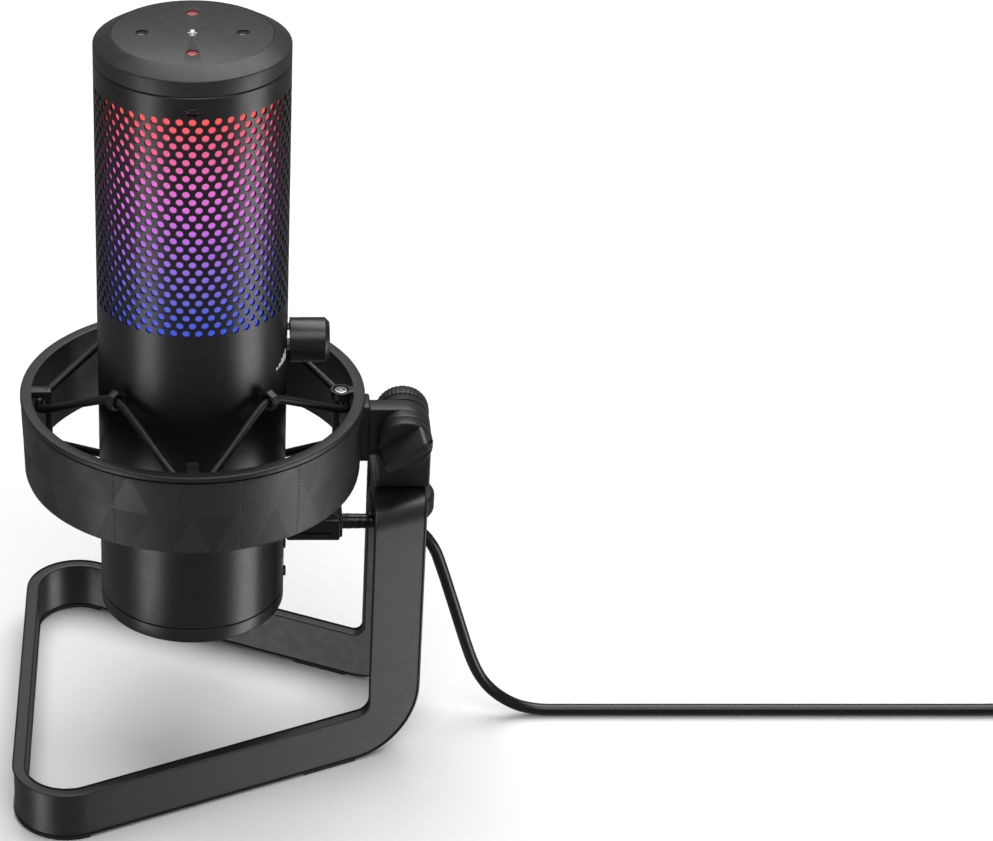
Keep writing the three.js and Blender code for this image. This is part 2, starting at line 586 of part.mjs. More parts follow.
let plateSolid = tube(0, plate.radius, plate.under, mic.top);
for (const [place, azimuth] of quarters) {
  const [x, y] = around(lens.ring, azimuth, 0);
  const well = rodZ(lens.radius + lens.gap, plate.under - over, mic.top + over, x, y, smooth.small);
  plateSolid = plateSolid.subtract(well);
  const lensSolid = rodZ(lens.radius, lens.under, mic.top - lens.sunk, x, y, smooth.small);
  add(body, `pattern_lens_${place}`, lensSolid, azimuth % 180 ? lensDark : lensLit);
}
add(body, "touch_plate", plateSolid, capBlack);
const boardTop = ledge.under - gap;
const boardSolid = tube(touchBoard.inner, touchBoard.outer, boardTop - touchBoard.thick, boardTop);
add(body, "touch_board", boardSolid, board);
const windowLow = [-muteSlot.half, -mic.radius + muteSlot.sunk, muteSlot.height - muteSlot.halfTall];
const windowHigh = [muteSlot.half, -inside + muteSlot.inwards, muteSlot.height + muteSlot.halfTall];
add(body, "mute_window", block(windowLow, windowHigh), lensDark);

const diffuser = tube(glow.radius - glow.wall, glow.radius, glow.bottom, glow.top - glow.short);
add(body, "diffuser_tube", diffuser, diffuse);
for (const [place, side] of frontAndRear) {
  const [near, far] = [side * lightBoard.near, side * lightBoard.far].sort((a, b) => a - b);
  const low = [-lightBoard.half, near, glow.bottom + lightBoard.inset];
  const high = [lightBoard.half, far, glow.top - lightBoard.inset];
  add(body, `light_board_${place}`, block(low, high), board);
}
const neckTop = capsule.height - capsule.radius - chassis.neckGap;
const neckLow = [-chassis.neck, -chassis.half, chassis.top - over];
const chassisLow = [chassis.left, -chassis.half, chassis.bottom];
const chassisSolid = block(chassisLow, [chassis.right, chassis.half, chassis.top])
  .add(block(neckLow, [chassis.neck, chassis.half, neckTop]));
add(body, "chassis", chassisSolid, mouldedBlack);
const capsuleSolid = rodY(capsule.radius, -capsule.halfLength, capsule.halfLength, 0, capsule.height);
add(body, "capsule", capsuleSolid, brassGold);
const cradleCut = cradle.halfLength + over;
const cradleSolid =
  rodY(capsule.radius + cradle.wall, -cradle.halfLength, cradle.halfLength, 0, capsule.height)
  .subtract(rodY(capsule.radius + gap, -cradleCut, cradleCut, 0, capsule.height));
add(body, "capsule_cradle", cradleSolid, rubberBlack);
const boardLow = [mainBoard.near, -mainBoard.half, mainBoard.bottom];
add(body, "main_board", block(boardLow, [mainBoard.far, mainBoard.half, mainBoard.top]), board);

const usbBack = [usbSocket.back, -usbSocket.half, sockets.usb - usbSocket.halfTall];
const usbFront = [inside - usbSocket.outwards, usbSocket.half, sockets.usb + usbSocket.halfTall];
const mouthBack = [usbSocket.floor, -usbSocket.innerHalf, sockets.usb - usbSocket.innerHalfTall];
const mouthFront = [wallCut.to, usbSocket.innerHalf, sockets.usb + usbSocket.innerHalfTall];
add(body, "usb_socket", block(usbBack, usbFront).subtract(block(mouthBack, mouthFront)), steel);
const jackEnd = mic.radius + jack.proud;
const jackSolid = rodX(jack.radius, jack.inner, jackEnd, 0, sockets.jack)
  .subtract(rodX(jack.hole, jack.inner + jack.floor, jackEnd + over, 0, sockets.jack, smooth.small));
add(body, "jack_socket", jackSolid, steel);
const potLow = [mainBoard.near, -gainPot.half, sockets.gain - gainPot.half];
add(body, "gain_pot", block(potLow, [gainPot.to, gainPot.half, sockets.gain + gainPot.half]), steel);
const switchLow = [buttonSwitch.from, -buttonSwitch.half, sockets.button - buttonSwitch.below];
const switchHigh = [buttonSwitch.to, buttonSwitch.half, sockets.button + buttonSwitch.above];
add(body, "button_switch", block(switchLow, switchHigh), mouldedBlack);

/** One eyelet at the front, with a foot that reaches the body's wall. */
function clipSolid(height) {
  const half = clip.width / 2;
  const footStart = [-half, -clip.centre + clip.footIn, height - clip.footHalf];
  const footEnd = [half, -mic.radius - gap, height + clip.footHalf];
  return rodX(clip.outer, -half, half, -clip.centre, height, clip.sides)
    .add(block(footStart, footEnd))
    .subtract(rodX(clip.hole, -half - over, half + over, -clip.centre, height, smooth.small));
}

for (const [level, height] of [["upper", elastic.upperClip], ["lower", elastic.lowerClip]]) {
  for (const [place, azimuth] of corners) {
    add(body, `clip_${level}_${place}`, turnTo(clipSolid(height), azimuth), mouldedBlack);
  }
}

// ---------------------------------------------------------------- gain knob and light button
const gainGroup = new THREE.Group();
gainGroup.position.set(0, 0, sockets.gain);
gainGroup.rotation.set(0, Math.PI / 2, 0);
const gainProfile = [
  [0, gain.from], [gain.radius, gain.from], [gain.radius, gain.to - gain.ease],
  [gain.radius - gain.ease, gain.to], [0, gain.to],
];
const gainKnob = turned(gainProfile, gain.sides)
  .subtract(rodZ(gain.shaft + gap, gain.from - over, gain.to - gainShaft.bore, 0, 0));
add(gainGroup, "gain_knob", gainKnob, satinBlack);
const shaftSolid = rodZ(gain.shaft, gainShaft.from, gain.to - gainShaft.short, 0, 0, gainShaft.sides);
add(gainGroup, "gain_shaft", shaftSolid, steel);

const buttonGroup = new THREE.Group();
const buttonEnd = mic.radius + button.proud;
const buttonSolid = rodX(button.radius, button.inner, buttonEnd, 0, sockets.button, smooth.small);
add(buttonGroup, "light_button", buttonSolid, lensDark);

// ---------------------------------------------------------------- plug at the microphone
const shellLow = [plugShell.from, -plugShell.half, sockets.usb - plugShell.halfTall];
const shellHigh = [plug.from - gap, plugShell.half, sockets.usb + plugShell.halfTall];
add(body, "plug_shell", block(shellLow, shellHigh), steel);
const plugOutline = roundedOutline([
  [-plug.half, -plug.halfTall, plug.corner], [plug.half, -plug.halfTall, plug.corner],
  [plug.half, plug.halfTall, plug.corner], [-plug.half, plug.halfTall, plug.corner],
]);
const plugStart = new THREE.Vector3(plug.from, 0, sockets.usb);
add(body, "plug_grip", pushed(plugOutline, plug.to - plug.from, Y, Z, plugStart), cordBlack);

/** A point on the strain relief's bend at x. */
function bendPoint(x) {
  const fall = relief.bendRadius - Math.sqrt(relief.bendRadius ** 2 - (x - relief.bendX) ** 2);
  return [x, 0, sockets.usb - fall];
}

const straight = [plug.to + gap, 50, 55, relief.bendX].map((x) => [x, 0, sockets.usb]);
const reliefPath = [...straight, bendPoint(60.2), bendPoint(tilt.x)];
add(body, "strain_relief", along(reliefPath, relief.radius, relief.sides, relief.steps), cordBlack);

// ---------------------------------------------------------------- cable, coil and its plug
const cable = new THREE.Group();
const runPoints = runPath.map(([x, z]) => [x, 0, z]);
add(cable, "cable_run", along(runPoints, cord.radius, cord.sides, cord.runSteps), cordBlack);

const coilGroup = new THREE.Group();
coilGroup.position.set(coil.x, -coilOuterTurn, 0);
cable.add(coilGroup);
const coilSolid = tube(coilInner, coilEdge, coil.lift, coilTop, coil.sides);
add(coilGroup, "cable_coil", coilSolid, cordBlack);
const tieLow = [coilInner - gap - tie.thick, -tie.half, tie.low];
const tieHigh = [coilEdge + gap + tie.thick, tie.half, coilTop + gap + tie.thick];
const tieHoleLow = [coilInner - gap - tie.inwards, -tie.half - over, coil.lift - tie.under];
const tieHole = block(tieHoleLow, [coilEdge + gap, tie.half + over, coilTop + gap]);
add(coilGroup, "cable_tie", turnTo(block(tieLow, tieHigh).subtract(tieHole), tie.azimuth), rubberBlack);

add(cable, "cable_tail", along(tailPath, cord.radius, cord.sides, cord.tailSteps), cordBlack);
const hostGrip = block([host.x - host.half, host.gripEnd, 0], [host.x + host.half, host.from, host.tall]);
add(cable, "host_plug_grip", hostGrip, cordBlack);
const hostInner = hostShell.half - hostShell.wall;
const hostShellLow = [host.x - hostShell.half, hostShell.end, hostShell.low];
const hostShellHigh = [host.x + hostShell.half, host.gripEnd - gap, hostShell.high];
const hostMouthLow = [host.x - hostInner, hostShell.end - over, hostShell.low + hostShell.wallTall];
const hostMouthHigh =
  [host.x + hostInner, host.gripEnd - hostShell.floor, hostShell.high - hostShell.wallTall];
const hostMouth = block(hostMouthLow, hostMouthHigh);
add(cable, "host_plug_shell", block(hostShellLow, hostShellHigh).subtract(hostMouth), steel);

// ---------------------------------------------------------------- the whole object
const rightOfFrame = Math.max(plan.upRight, fork.right, tilt.x + knob.radius);
const whole = new THREE.Group();
whole.add(stand, lock, swivel, clamp, head, body, gainGroup, buttonGroup, cable);
whole.position.set(-(plan.left + rightOfFrame) / 2, 0, 0);

export default whole;
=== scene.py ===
"""Desktop microphone: a lit condenser microphone hung on elastic cord in a ring, on a bent-bar stand.

Shapes are worked out in millimetres from the microphone's own axis, with heights above the table, and each
one is moved into the frame, in metres, as it becomes a mesh.
"""

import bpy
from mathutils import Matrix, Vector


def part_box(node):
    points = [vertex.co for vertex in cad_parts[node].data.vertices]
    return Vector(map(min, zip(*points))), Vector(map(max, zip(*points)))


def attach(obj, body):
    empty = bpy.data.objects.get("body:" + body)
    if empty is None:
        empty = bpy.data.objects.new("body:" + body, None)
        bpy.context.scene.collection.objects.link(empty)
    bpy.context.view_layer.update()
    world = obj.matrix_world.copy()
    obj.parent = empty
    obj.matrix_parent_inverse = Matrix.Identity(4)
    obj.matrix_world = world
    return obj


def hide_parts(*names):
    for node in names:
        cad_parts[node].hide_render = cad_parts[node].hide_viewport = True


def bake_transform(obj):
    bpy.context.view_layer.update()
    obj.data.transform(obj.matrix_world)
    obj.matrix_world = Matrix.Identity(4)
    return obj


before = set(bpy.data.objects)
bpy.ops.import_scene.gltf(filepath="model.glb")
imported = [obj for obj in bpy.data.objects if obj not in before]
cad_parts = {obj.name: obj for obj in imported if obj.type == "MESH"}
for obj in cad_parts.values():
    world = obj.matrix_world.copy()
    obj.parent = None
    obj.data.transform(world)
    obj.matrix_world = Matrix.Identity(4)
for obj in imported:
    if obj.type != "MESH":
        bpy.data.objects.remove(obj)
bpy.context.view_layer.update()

import logging
import math
from dataclasses import dataclass, field
from enum import Enum
from typing import Callable

import bpy
import numpy as np

MM = 0.001
FULL_TURN = 2 * math.pi
TINY = 1e-9
CLOSE = 1e-6
CREASE = 32.0
AXIS_X = (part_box("body_tube")[0].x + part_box("body_tube")[1].x) / 2

# What several sub-assemblies share, in millimetres from the microphone's axis and above the table.
PIVOT_X = 62.2
PIVOT_Z = 103.5
EYE_RADIUS = 7.8
TILT_BORE = 2.8
STUD_BORE = 4.85
CLIP_REACH = 30.9
UPPER_CLIP_Z = 125.2
LOWER_CLIP_Z = 81.2
USB_Z = 71.0
FACETS = 26

log = logging.getLogger("microphone")

Array = np.ndarray
UP = np.array([0.0, 0.0, 1.0])
ALONG_X = np.array([[0.0, 1.0, 0.0], [0.0, 0.0, 1.0], [1.0, 0.0, 0.0]])
ALONG_Y = np.array([[0.0, 0.0, 1.0], [1.0, 0.0, 0.0], [0.0, 1.0, 0.0]])
ALONG_Z = np.eye(3)


# ---------------------------------------------------------------- forms
@dataclass
class Form:
    """A closed surface: points, and faces grouped in arrays whose rows all have as many corners.

    Fields:
        points: one row of x, y, z for each point, in millimetres.
        faces: arrays of point numbers, one row for each face.
        uv: for the first array of faces, a place on the surface for each corner, or None.
    """

    points: Array
    faces: list[Array]
    uv: Array | None = None

    def placed(self, axes: Array, origin: tuple[float, float, float] = (0.0, 0.0, 0.0)) -> "Form":
        """The form with its x, y and z carried along the rows of axes, from origin."""
        return Form(self.points @ axes + np.array(origin), self.faces, self.uv)

    def turned(self, azimuth: float) -> "Form":
        """The form turned about the vertical axis.

        Args:
            azimuth: degrees from the front towards +X.

        Returns:
            The turned form.
        """
        turn = math.radians(azimuth)
        cosine, sine = math.cos(turn), math.sin(turn)
        spin = np.array([[cosine, sine, 0], [-sine, cosine, 0], [0, 0, 1]])
        return Form(self.points @ spin, self.faces, self.uv)

    def outward(self) -> "Form":
        """The form with its faces pointing out.

        They are reversed if the volume that they enclose comes out negative.

        Returns:
            The form, or the reversed one.
        """
        volume = 0.0
        for group in self.faces:
            corners = self.points[group]
            first = corners[:, :1]
            fan = np.cross(corners[:, 1:-1], corners[:, 2:])
            volume += float((first * fan).sum())
        if volume >= 0:
            return self
        uv = None if self.uv is None else self.uv[:, ::-1]
        return Form(self.points, [group[:, ::-1] for group in self.faces], uv)


def together(forms: list[Form]) -> Form:
    """Several forms as one, with their point numbers shifted to follow each other.

    Args:
        forms: closed forms that don't touch.

    Returns:
        One form, without surface places.
    """
    shifts = np.cumsum([0] + [len(form.points) for form in forms[:-1]])
    faces = [group + shift for form, shift in zip(forms, shifts) for group in form.faces]
    return Form(np.concatenate([form.points for form in forms]), faces)


def grid_faces(rows: int, columns: int, wrap_rows: bool, wrap_columns: bool) -> tuple[Array, Array]:
    """Four-cornered faces over a grid of points, and each corner's share of the way across and along it.

    Args:
        rows: how many rows of points.
        columns: how many points in a row.
        wrap_rows: whether the last row joins the first.
        wrap_columns: whether the last column joins the first.

    Returns:
        The faces, and for each corner (column share, row share).
    """
    row, column = np.meshgrid(
        np.arange(rows if wrap_rows else rows - 1),
        np.arange(columns if wrap_columns else columns - 1),
        indexing="ij",
    )
    rows_at = np.stack([row, row, row + 1, row + 1], -1).reshape(-1, 4)
    columns_at = np.stack([column, column + 1, column + 1, column], -1).reshape(-1, 4)
    faces = (rows_at % rows) * columns + columns_at % columns
    spans = (columns if wrap_columns else columns - 1, rows if wrap_rows else rows - 1)
    return faces, np.stack([columns_at / spans[0], rows_at / spans[1]], -1)


def eased(corners: list[tuple[float, float, float]], steps: int = 5, is_loop: bool = True) -> Array:
    """An outline with rounded corners. Each corner gives way to the arc that touches both its sides.

    Args:
        corners: (x, y, radius) for each corner, where radius 0 stays sharp.
        steps: how many chords an arc has.
        is_loop: whether the last corner joins the first.

    Returns:
        The outline's points, one row each.
    """
    places = np.array([corner[:2] for corner in corners], float)
    outline: list[Array] = []
    for number, (x, y, radius) in enumerate(corners):
        here = np.array([x, y])
        is_end = not is_loop and number in (0, len(corners) - 1)
        if radius <= 0 or is_end:
            outline.append(here[None])
            continue
        back = places[number - 1] - here
        ahead = places[(number + 1) % len(places)] - here
        back, ahead = back / np.linalg.norm(back), ahead / np.linalg.norm(ahead)
        half = math.acos(float(np.clip(back @ ahead, -1, 1))) / 2
        middle = (back + ahead) / np.linalg.norm(back + ahead)
        centre = here + middle * radius / math.sin(half)
        start, end = (here + way * radius / math.tan(half) - centre for way in (back, ahead))
        sweep = math.atan2(start[0] * end[1] - start[1] * end[0], float(start @ end))
        turn = np.linspace(0, sweep, steps + 1)[:, None]
        outline.append(centre + start * np.cos(turn) + np.array([-start[1], start[0]]) * np.sin(turn))
    return np.concatenate(outline)


def lathe(profile: Array, sides: int = 96, ripple: Callable[[Array], Array] | None = None) -> Form:
    """A turned form about z: each profile point (r, z) goes round to (r cos t, r sin t, z).

    Args:
        profile: a closed loop of (r, z), or an open one that starts and ends on the axis.
        sides: how many steps round.
        ripple: what the radius is multiplied by at each angle, as for a knurl.

    Returns:
        The closed form.
    """
    is_open = bool(profile[0, 0] < TINY)
    rings = profile[1:-1] if is_open else profile
    turn = np.arange(sides) / sides * FULL_TURN
    scale = np.ones(sides) if ripple is None else ripple(turn)
    reach = rings[:, :1] * scale[None]
    height = np.repeat(rings[:, 1:], sides, axis=1)
    points = np.stack([reach * np.cos(turn), reach * np.sin(turn), height], -1).reshape(-1, 3)
    faces, uv = grid_faces(len(rings), sides, not is_open, True)
    groups = [faces]
    if is_open:
        poles = np.array([[0, 0, profile[0, 1]], [0, 0, profile[-1, 1]]])
        first, last = len(points), len(points) + 1
        here = np.arange(sides)
        following = (here + 1) % sides
        top = (len(rings) - 1) * sides
        groups.append(np.stack([np.full(sides, first), following, here], -1))
        groups.append(np.stack([np.full(sides, last), top + here, top + following], -1))
        points = np.concatenate([points, poles])
    return Form(points, groups, uv).outward()


def disc(radius: float, low: float, high: float, ease: float = 0.3, sides: int = 64) -> Form:
    """A short cylinder about z with both its edges rounded."""
    corners = [(0, low, 0), (radius, low, ease), (radius, high, ease), (0, high, 0)]
    return lathe(eased(corners, is_loop=False), sides)


def inset(outline: Array, depth: float) -> Array:
    """A closed outline moved inwards, each point along the middle of its two sides' normals.

    Args:
        outline: an anticlockwise outline, as (x, y).
        depth: how far its sides move.

    Returns:
        The moved outline.
    """
    ahead = np.roll(outline, -1, axis=0) - outline
    length = np.linalg.norm(ahead, axis=1, keepdims=True)
    normal = np.stack([ahead[:, 1], -ahead[:, 0]], -1) / np.maximum(length, TINY)
    middle = normal + np.roll(normal, 1, axis=0)
    middle /= np.maximum(np.linalg.norm(middle, axis=1, keepdims=True), TINY)
    spread = np.maximum((middle * normal).sum(1, keepdims=True), 0.5)
    return outline - middle / spread * depth


def rectangle(low: tuple[float, float], high: tuple[float, float], ease: float, steps: int) -> Array:
    """A four-sided outline between two corners, with all its corners rounded by ease."""
    return eased([(*low, ease), (high[0], low[1], ease), (*high, ease), (low[0], high[1], ease)], steps)


def slab(outline: Array, low: float, high: float, ease: float = 0.3, steps: int = 3) -> Form:
    """An outline pushed from low to high, with a quarter round along both its edges.

    Args:
        outline: a closed outline, as (x, y).
        low: where it starts along z.
        high: where it ends along z.
        ease: the radius of the quarter round.
        steps: how many chords the quarter round has.

    Returns:
        The closed form, whose two ends are single faces.
    """
    following = np.roll(outline, -1, axis=0)
    if (outline[:, 0] * following[:, 1] - outline[:, 1] * following[:, 0]).sum() < 0:
        outline = outline[::-1]
    quarter = np.linspace(0, math.pi / 2, steps + 1)
    depths = np.concatenate([ease * (1 - np.sin(quarter)), ease * (1 - np.cos(quarter))])
    heights = np.concatenate([low + ease * (1 - np.cos(quarter)), high - ease * (1 - np.sin(quarter))])
    rings = [np.column_stack([inset(outline, depth), np.full(len(outline), height)])
             for depth, height in zip(depths, heights)]
    faces, uv = grid_faces(len(rings), len(outline), False, True)
    ends = np.arange(len(outline))
    cover = [ends[None, ::-1], ends[None] + (len(rings) - 1) * len(outline)]
    return Form(np.concatenate(rings), [faces, *cover], uv).outward()


def block(low: tuple[float, float, float], high: tuple[float, float, float], ease: float = 0.3) -> Form:
    """A box between two corners, with all its edges rounded by ease."""
    return slab(rectangle(low[:2], high[:2], ease, 3), low[2], high[2], ease)


def smooth_path(points: list[tuple[float, float, float]] | Array, spacing: float) -> Array:
    """A curve through points, evenly stepped.

    Between two points it is the cubic whose end slopes come from the neighbours, each step weighed by the
    square root of its length, so that it makes no loops. Its length is then shared out in equal steps.

    Args:
        points: what the curve goes through.
        spacing: the step along it, in millimetres.

    Returns:
        The curve's points.
    """
    given = np.asarray(points, float)
    p = np.concatenate([[2 * given[0] - given[1]], given, [2 * given[-1] - given[-2]]])
    step = np.sqrt(np.linalg.norm(np.diff(p, axis=0), axis=1))[:, None]
    before, here, after = step[:-2], step[1:-1], step[2:]
    chord = (p[2:-1] - p[1:-2]) / here
    leave = ((p[1:-2] - p[:-3]) / before - (p[2:-1] - p[:-3]) / (before + here) + chord) * here
    arrive = (chord - (p[3:] - p[1:-2]) / (here + after) + (p[3:] - p[2:-1]) / after) * here
    chords = 40
    t = np.linspace(0, 1, chords, endpoint=False)[:, None, None]
    start, end = p[1:-2], p[2:-1]
    curve = ((2 * t**3 - 3 * t**2 + 1) * start + (t**3 - 2 * t**2 + t) * leave
             + (3 * t**2 - 2 * t**3) * end + (t**3 - t**2) * arrive)
    dense = np.concatenate([curve.transpose(1, 0, 2).reshape(-1, 3), given[-1:]])
    return evenly(dense, spacing)


def evenly(dense: Array, spacing: float) -> Array:
    """A fine polyline again, in equal steps along its length.

    Args:
        dense: the polyline's points.
        spacing: about how long a step is.

    Returns:
        The new points, with both ends kept.
    """
    run = np.concatenate([[0], np.cumsum(np.linalg.norm(np.diff(dense, axis=0), axis=1))])
    at = np.linspace(0, run[-1], max(2, round(run[-1] / spacing)) + 1)
    return np.stack([np.interp(at, run, dense[:, k]) for k in range(3)], -1)


def tube(path: Array, radius: float | Array, sides: int = 12, is_loop: bool = False) -> Form:
    """A round tube along a path: path + radius (side cos t + over sin t).

    side is square to the path and level, and over is square to both, so the path is never quite upright.

    Args:
        path: the centre line's points.
        radius: one radius, or one for each point.
        sides: how many steps round.
        is_loop: whether the end joins the start.

    Returns:
        The closed form, with its surface place as (share round, share along).
    """
    ahead = (np.roll(path, -1, 0) - np.roll(path, 1, 0)) if is_loop else np.gradient(path, axis=0)
    ahead /= np.linalg.norm(ahead, axis=1, keepdims=True)
    side = np.cross(ahead, UP)
    side /= np.linalg.norm(side, axis=1, keepdims=True)
    over = np.cross(side, ahead)
    turn = np.arange(sides) / sides * FULL_TURN
    reach = np.broadcast_to(np.asarray(radius, float), (len(path),))[:, None, None]
    round_about = side[:, None] * np.cos(turn)[:, None] + over[:, None] * np.sin(turn)[:, None]
    points = (path[:, None] + reach * round_about).reshape(-1, 3)
    faces, uv = grid_faces(len(path), sides, is_loop, True)
    groups = [faces]
    if not is_loop:
        end = np.arange(sides)
        groups += [end[None, ::-1], end[None] + (len(path) - 1) * sides]
    return Form(points, groups, uv).outward()


# ---------------------------------------------------------------- finishes
class Grain(Enum):
    """How a surface feels close up: its grain's size across, in metres, and its depth."""

    SMOOTH = (0.00035, 0.015)
    SATIN = (0.00016, 0.05)
    MOULDED = (0.00030, 0.16)
    POWDER = (0.00042, 0.12)
    RUBBER = (0.00050, 0.22)


def srgb(red: int, green: int, blue: int) -> tuple[float, float, float, float]:
    """A screen colour as the linear light that shaders take.

    Args:
        red: 0 to 255.
        green: 0 to 255.
        blue: 0 to 255.

    Returns:
        The colour's linear shares and full opacity.
    """
    share = np.array([red, green, blue]) / 255
    linear = np.where(share <= 0.04045, share / 12.92, ((share + 0.055) / 1.055) ** 2.4)
    return (*(float(value) for value in linear), 1.0)


class Shader:
    """A material being wired: nodes by short calls, with the surface shader ready."""

    def __init__(self, name: str) -> None:
        """Starts a material.

        Args:
            name: what it is called.
        """
        self.material = bpy.data.materials.new(name)
        self.material.use_nodes = True
        self.tree = self.material.node_tree
        self.surface = self.tree.nodes["Principled BSDF"]

    def node(self, kind: str, **settings: object) -> bpy.types.Node:
        """Adds a node.

        Args:
            kind: its type's name, without ShaderNode.
            settings: its properties.

        Returns:
            The node.
        """
        made = self.tree.nodes.new("ShaderNode" + kind)
        for name, value in settings.items():
            setattr(made, name, value)
        return made

    def link(self, source: bpy.types.NodeSocket, target: bpy.types.NodeSocket) -> None:
        """Wires an output to an input."""
        self.tree.links.new(source, target)

    def noise(self, size: float, detail: float = 3.0) -> bpy.types.NodeSocket:
        """Noise over the object's own coordinates.

        Args:
            size: about how many metres its features are across.
            detail: how many finer layers it has.

        Returns:
            The noise, 0 to 1.
        """
        where = self.node("TexCoord")
        made = self.node("TexNoise")
        made.inputs["Scale"].default_value = 1 / size
        made.inputs["Detail"].default_value = detail
        self.link(where.outputs["Object"], made.inputs["Vector"])
        return made.outputs["Fac"]

    def mapped(self, value: bpy.types.NodeSocket, low: float, high: float,
               from_low: float = 0.0, from_high: float = 1.0, is_soft: bool = False) -> bpy.types.NodeSocket:
        """A value carried from one range to another.

        Args:
            value: what is carried.
            low: what from_low becomes.
            high: what from_high becomes.
            from_low: the start of the value's range.
            from_high: its end.
            is_soft: whether the ends are eased.

        Returns:
            The carried value.
        """
        made = self.node("MapRange", interpolation_type="SMOOTHSTEP" if is_soft else "LINEAR")
        limits = (("From Min", from_low), ("From Max", from_high), ("To Min", low), ("To Max", high))
        for name, number in limits:
            made.inputs[name].default_value = number
        self.link(value, made.inputs["Value"])
        return made.outputs["Result"]

    def maths(self, operation: str, *values: object) -> bpy.types.NodeSocket:
        """Arithmetic on sockets and numbers.

        Args:
            operation: the sum's name.
            values: sockets or numbers, in order.

        Returns:
            The result.
        """
        made = self.node("Math", operation=operation)
        for socket, value in zip(made.inputs, values):
            if isinstance(value, bpy.types.NodeSocket):
                self.link(value, socket)
            else:
                socket.default_value = value
        return made.outputs["Value"]

    def tinted(self, share: bpy.types.NodeSocket, first: tuple, second: tuple) -> None:
        """Colours the surface by a share.

        Args:
            share: 0 for the first colour and 1 for the second.
            first: a linear colour.
            second: a linear colour.
        """
        made = self.node("Mix", data_type="RGBA")
        made.inputs[6].default_value = first
        made.inputs[7].default_value = second
        self.link(share, made.inputs[0])
        self.link(made.outputs[2], self.surface.inputs["Base Color"])

    def raised(self, height: bpy.types.NodeSocket, strength: float, distance: float = 0.0002) -> None:
        """Shades the surface as if it stood proud.

        Args:
            height: how far it stands, as a share.
            strength: how strongly that shows.
            distance: what a share of 1 means, in metres.
        """
        made = self.node("Bump")
        made.inputs["Strength"].default_value = strength
        made.inputs["Distance"].default_value = distance
        self.link(height, made.inputs["Height"])
        self.link(made.outputs["Normal"], self.surface.inputs["Normal"])


@dataclass(frozen=True)
class Finish:
    """A moulded, painted or metal finish.

    Fields:
        name: the material's name.
        slot: the record's slot for this finish; not used.
        colour: its screen colour.
        roughness: its middle roughness.
        grain: how it feels close up.
        metallic: 1 for bare metal.
        coat: how much clear gloss lies on it.
        specular: how strongly it reflects straight on.
    """

    name: str
    slot: str
    colour: tuple[int, int, int]
    roughness: float
    grain: Grain
    metallic: float = 0.0
    coat: float = 0.0
    specular: float = 0.5

    def shader(self) -> Shader:
        """Wires the finish.

        The colour drifts by a few percent in patches about 12 mm across, the roughness by a tenth in
        patches of 3 mm, and the grain raises the surface.

        Returns:
            The shader, which a special finish can add to.
        """
        made = Shader(self.name)
        size, depth = self.grain.value
        base = srgb(*self.colour)
        paler = tuple(min(1.0, value * 1.16 + 0.0008) for value in base[:3]) + (1.0,)
        darker = tuple(value * 0.86 for value in base[:3]) + (1.0,)
        made.tinted(made.noise(0.012), darker, paler)
        rough = made.mapped(made.noise(0.003, 5.0), self.roughness * 0.9, self.roughness * 1.1, 0.3, 0.7)
        made.link(rough, made.surface.inputs["Roughness"])
        made.raised(made.noise(size, 2.0), depth)
        made.surface.inputs["Metallic"].default_value = self.metallic
        made.surface.inputs["Coat Weight"].default_value = self.coat
        made.surface.inputs["Coat Roughness"].default_value = 0.12
        made.surface.inputs["Specular IOR Level"].default_value = self.specular
        return made

    def material(self) -> bpy.types.Material:
        """The finish as a material."""
        return self.shader().material


@dataclass(frozen=True)
class Glow:
    """The lit diffuser: coloured from top to bottom, bright at the front and the back and dark at the sides,
    where shade is painted into the glow.

    Fields:
        low: the diffuser's bottom, in metres.
        high: its top.
        radius: its radius.
        strength: how bright it is.
        stops: its screen colour at shares of its height.
    """

    low: float
    high: float
    radius: float
    strength: float = 1.05
    stops: tuple[tuple[float, tuple[int, int, int]], ...] = (
        (0.05, (70, 88, 214)), (0.16, (92, 98, 214)), (0.28, (130, 104, 218)), (0.42, (172, 106, 222)),
        (0.56, (214, 108, 222)), (0.70, (228, 108, 200)), (0.84, (236, 98, 150)), (0.96, (246, 92, 96)),
    )

    def material(self) -> bpy.types.Material:
        """Wires the glow: a colour ramp over height, dimmed by the depth y as a share of the radius, which
        paints shade towards the sides.

        Returns:
            The material.
        """
        made = Shader("diffuser_glow")
        where = made.node("TexCoord")
        apart = made.node("SeparateXYZ")
        made.link(where.outputs["Object"], apart.inputs["Vector"])
        ramp = made.node("ValToRGB")
        for number, (place, colour) in enumerate(self.stops):
            stop = ramp.color_ramp.elements[number] if number < 2 else ramp.color_ramp.elements.new(place)
            stop.position = place
            stop.color = srgb(*colour)
        made.link(made.mapped(apart.outputs["Z"], 0, 1, self.low, self.high), ramp.inputs["Fac"])
        # Painted shade: the glow's strength falls from the front and the back towards the dark sides.
        depth = made.maths("DIVIDE", made.maths("ABSOLUTE", apart.outputs["Y"]), self.radius)
        bright = made.mapped(depth, 0.012, self.strength, 0.06, 0.66, is_soft=True)
        made.link(ramp.outputs["Color"], made.surface.inputs["Emission Color"])
        made.link(bright, made.surface.inputs["Emission Strength"])
        made.tinted(made.noise(0.004), srgb(34, 32, 36), srgb(40, 38, 42))
        made.surface.inputs["Roughness"].default_value = 0.6
        return made.material


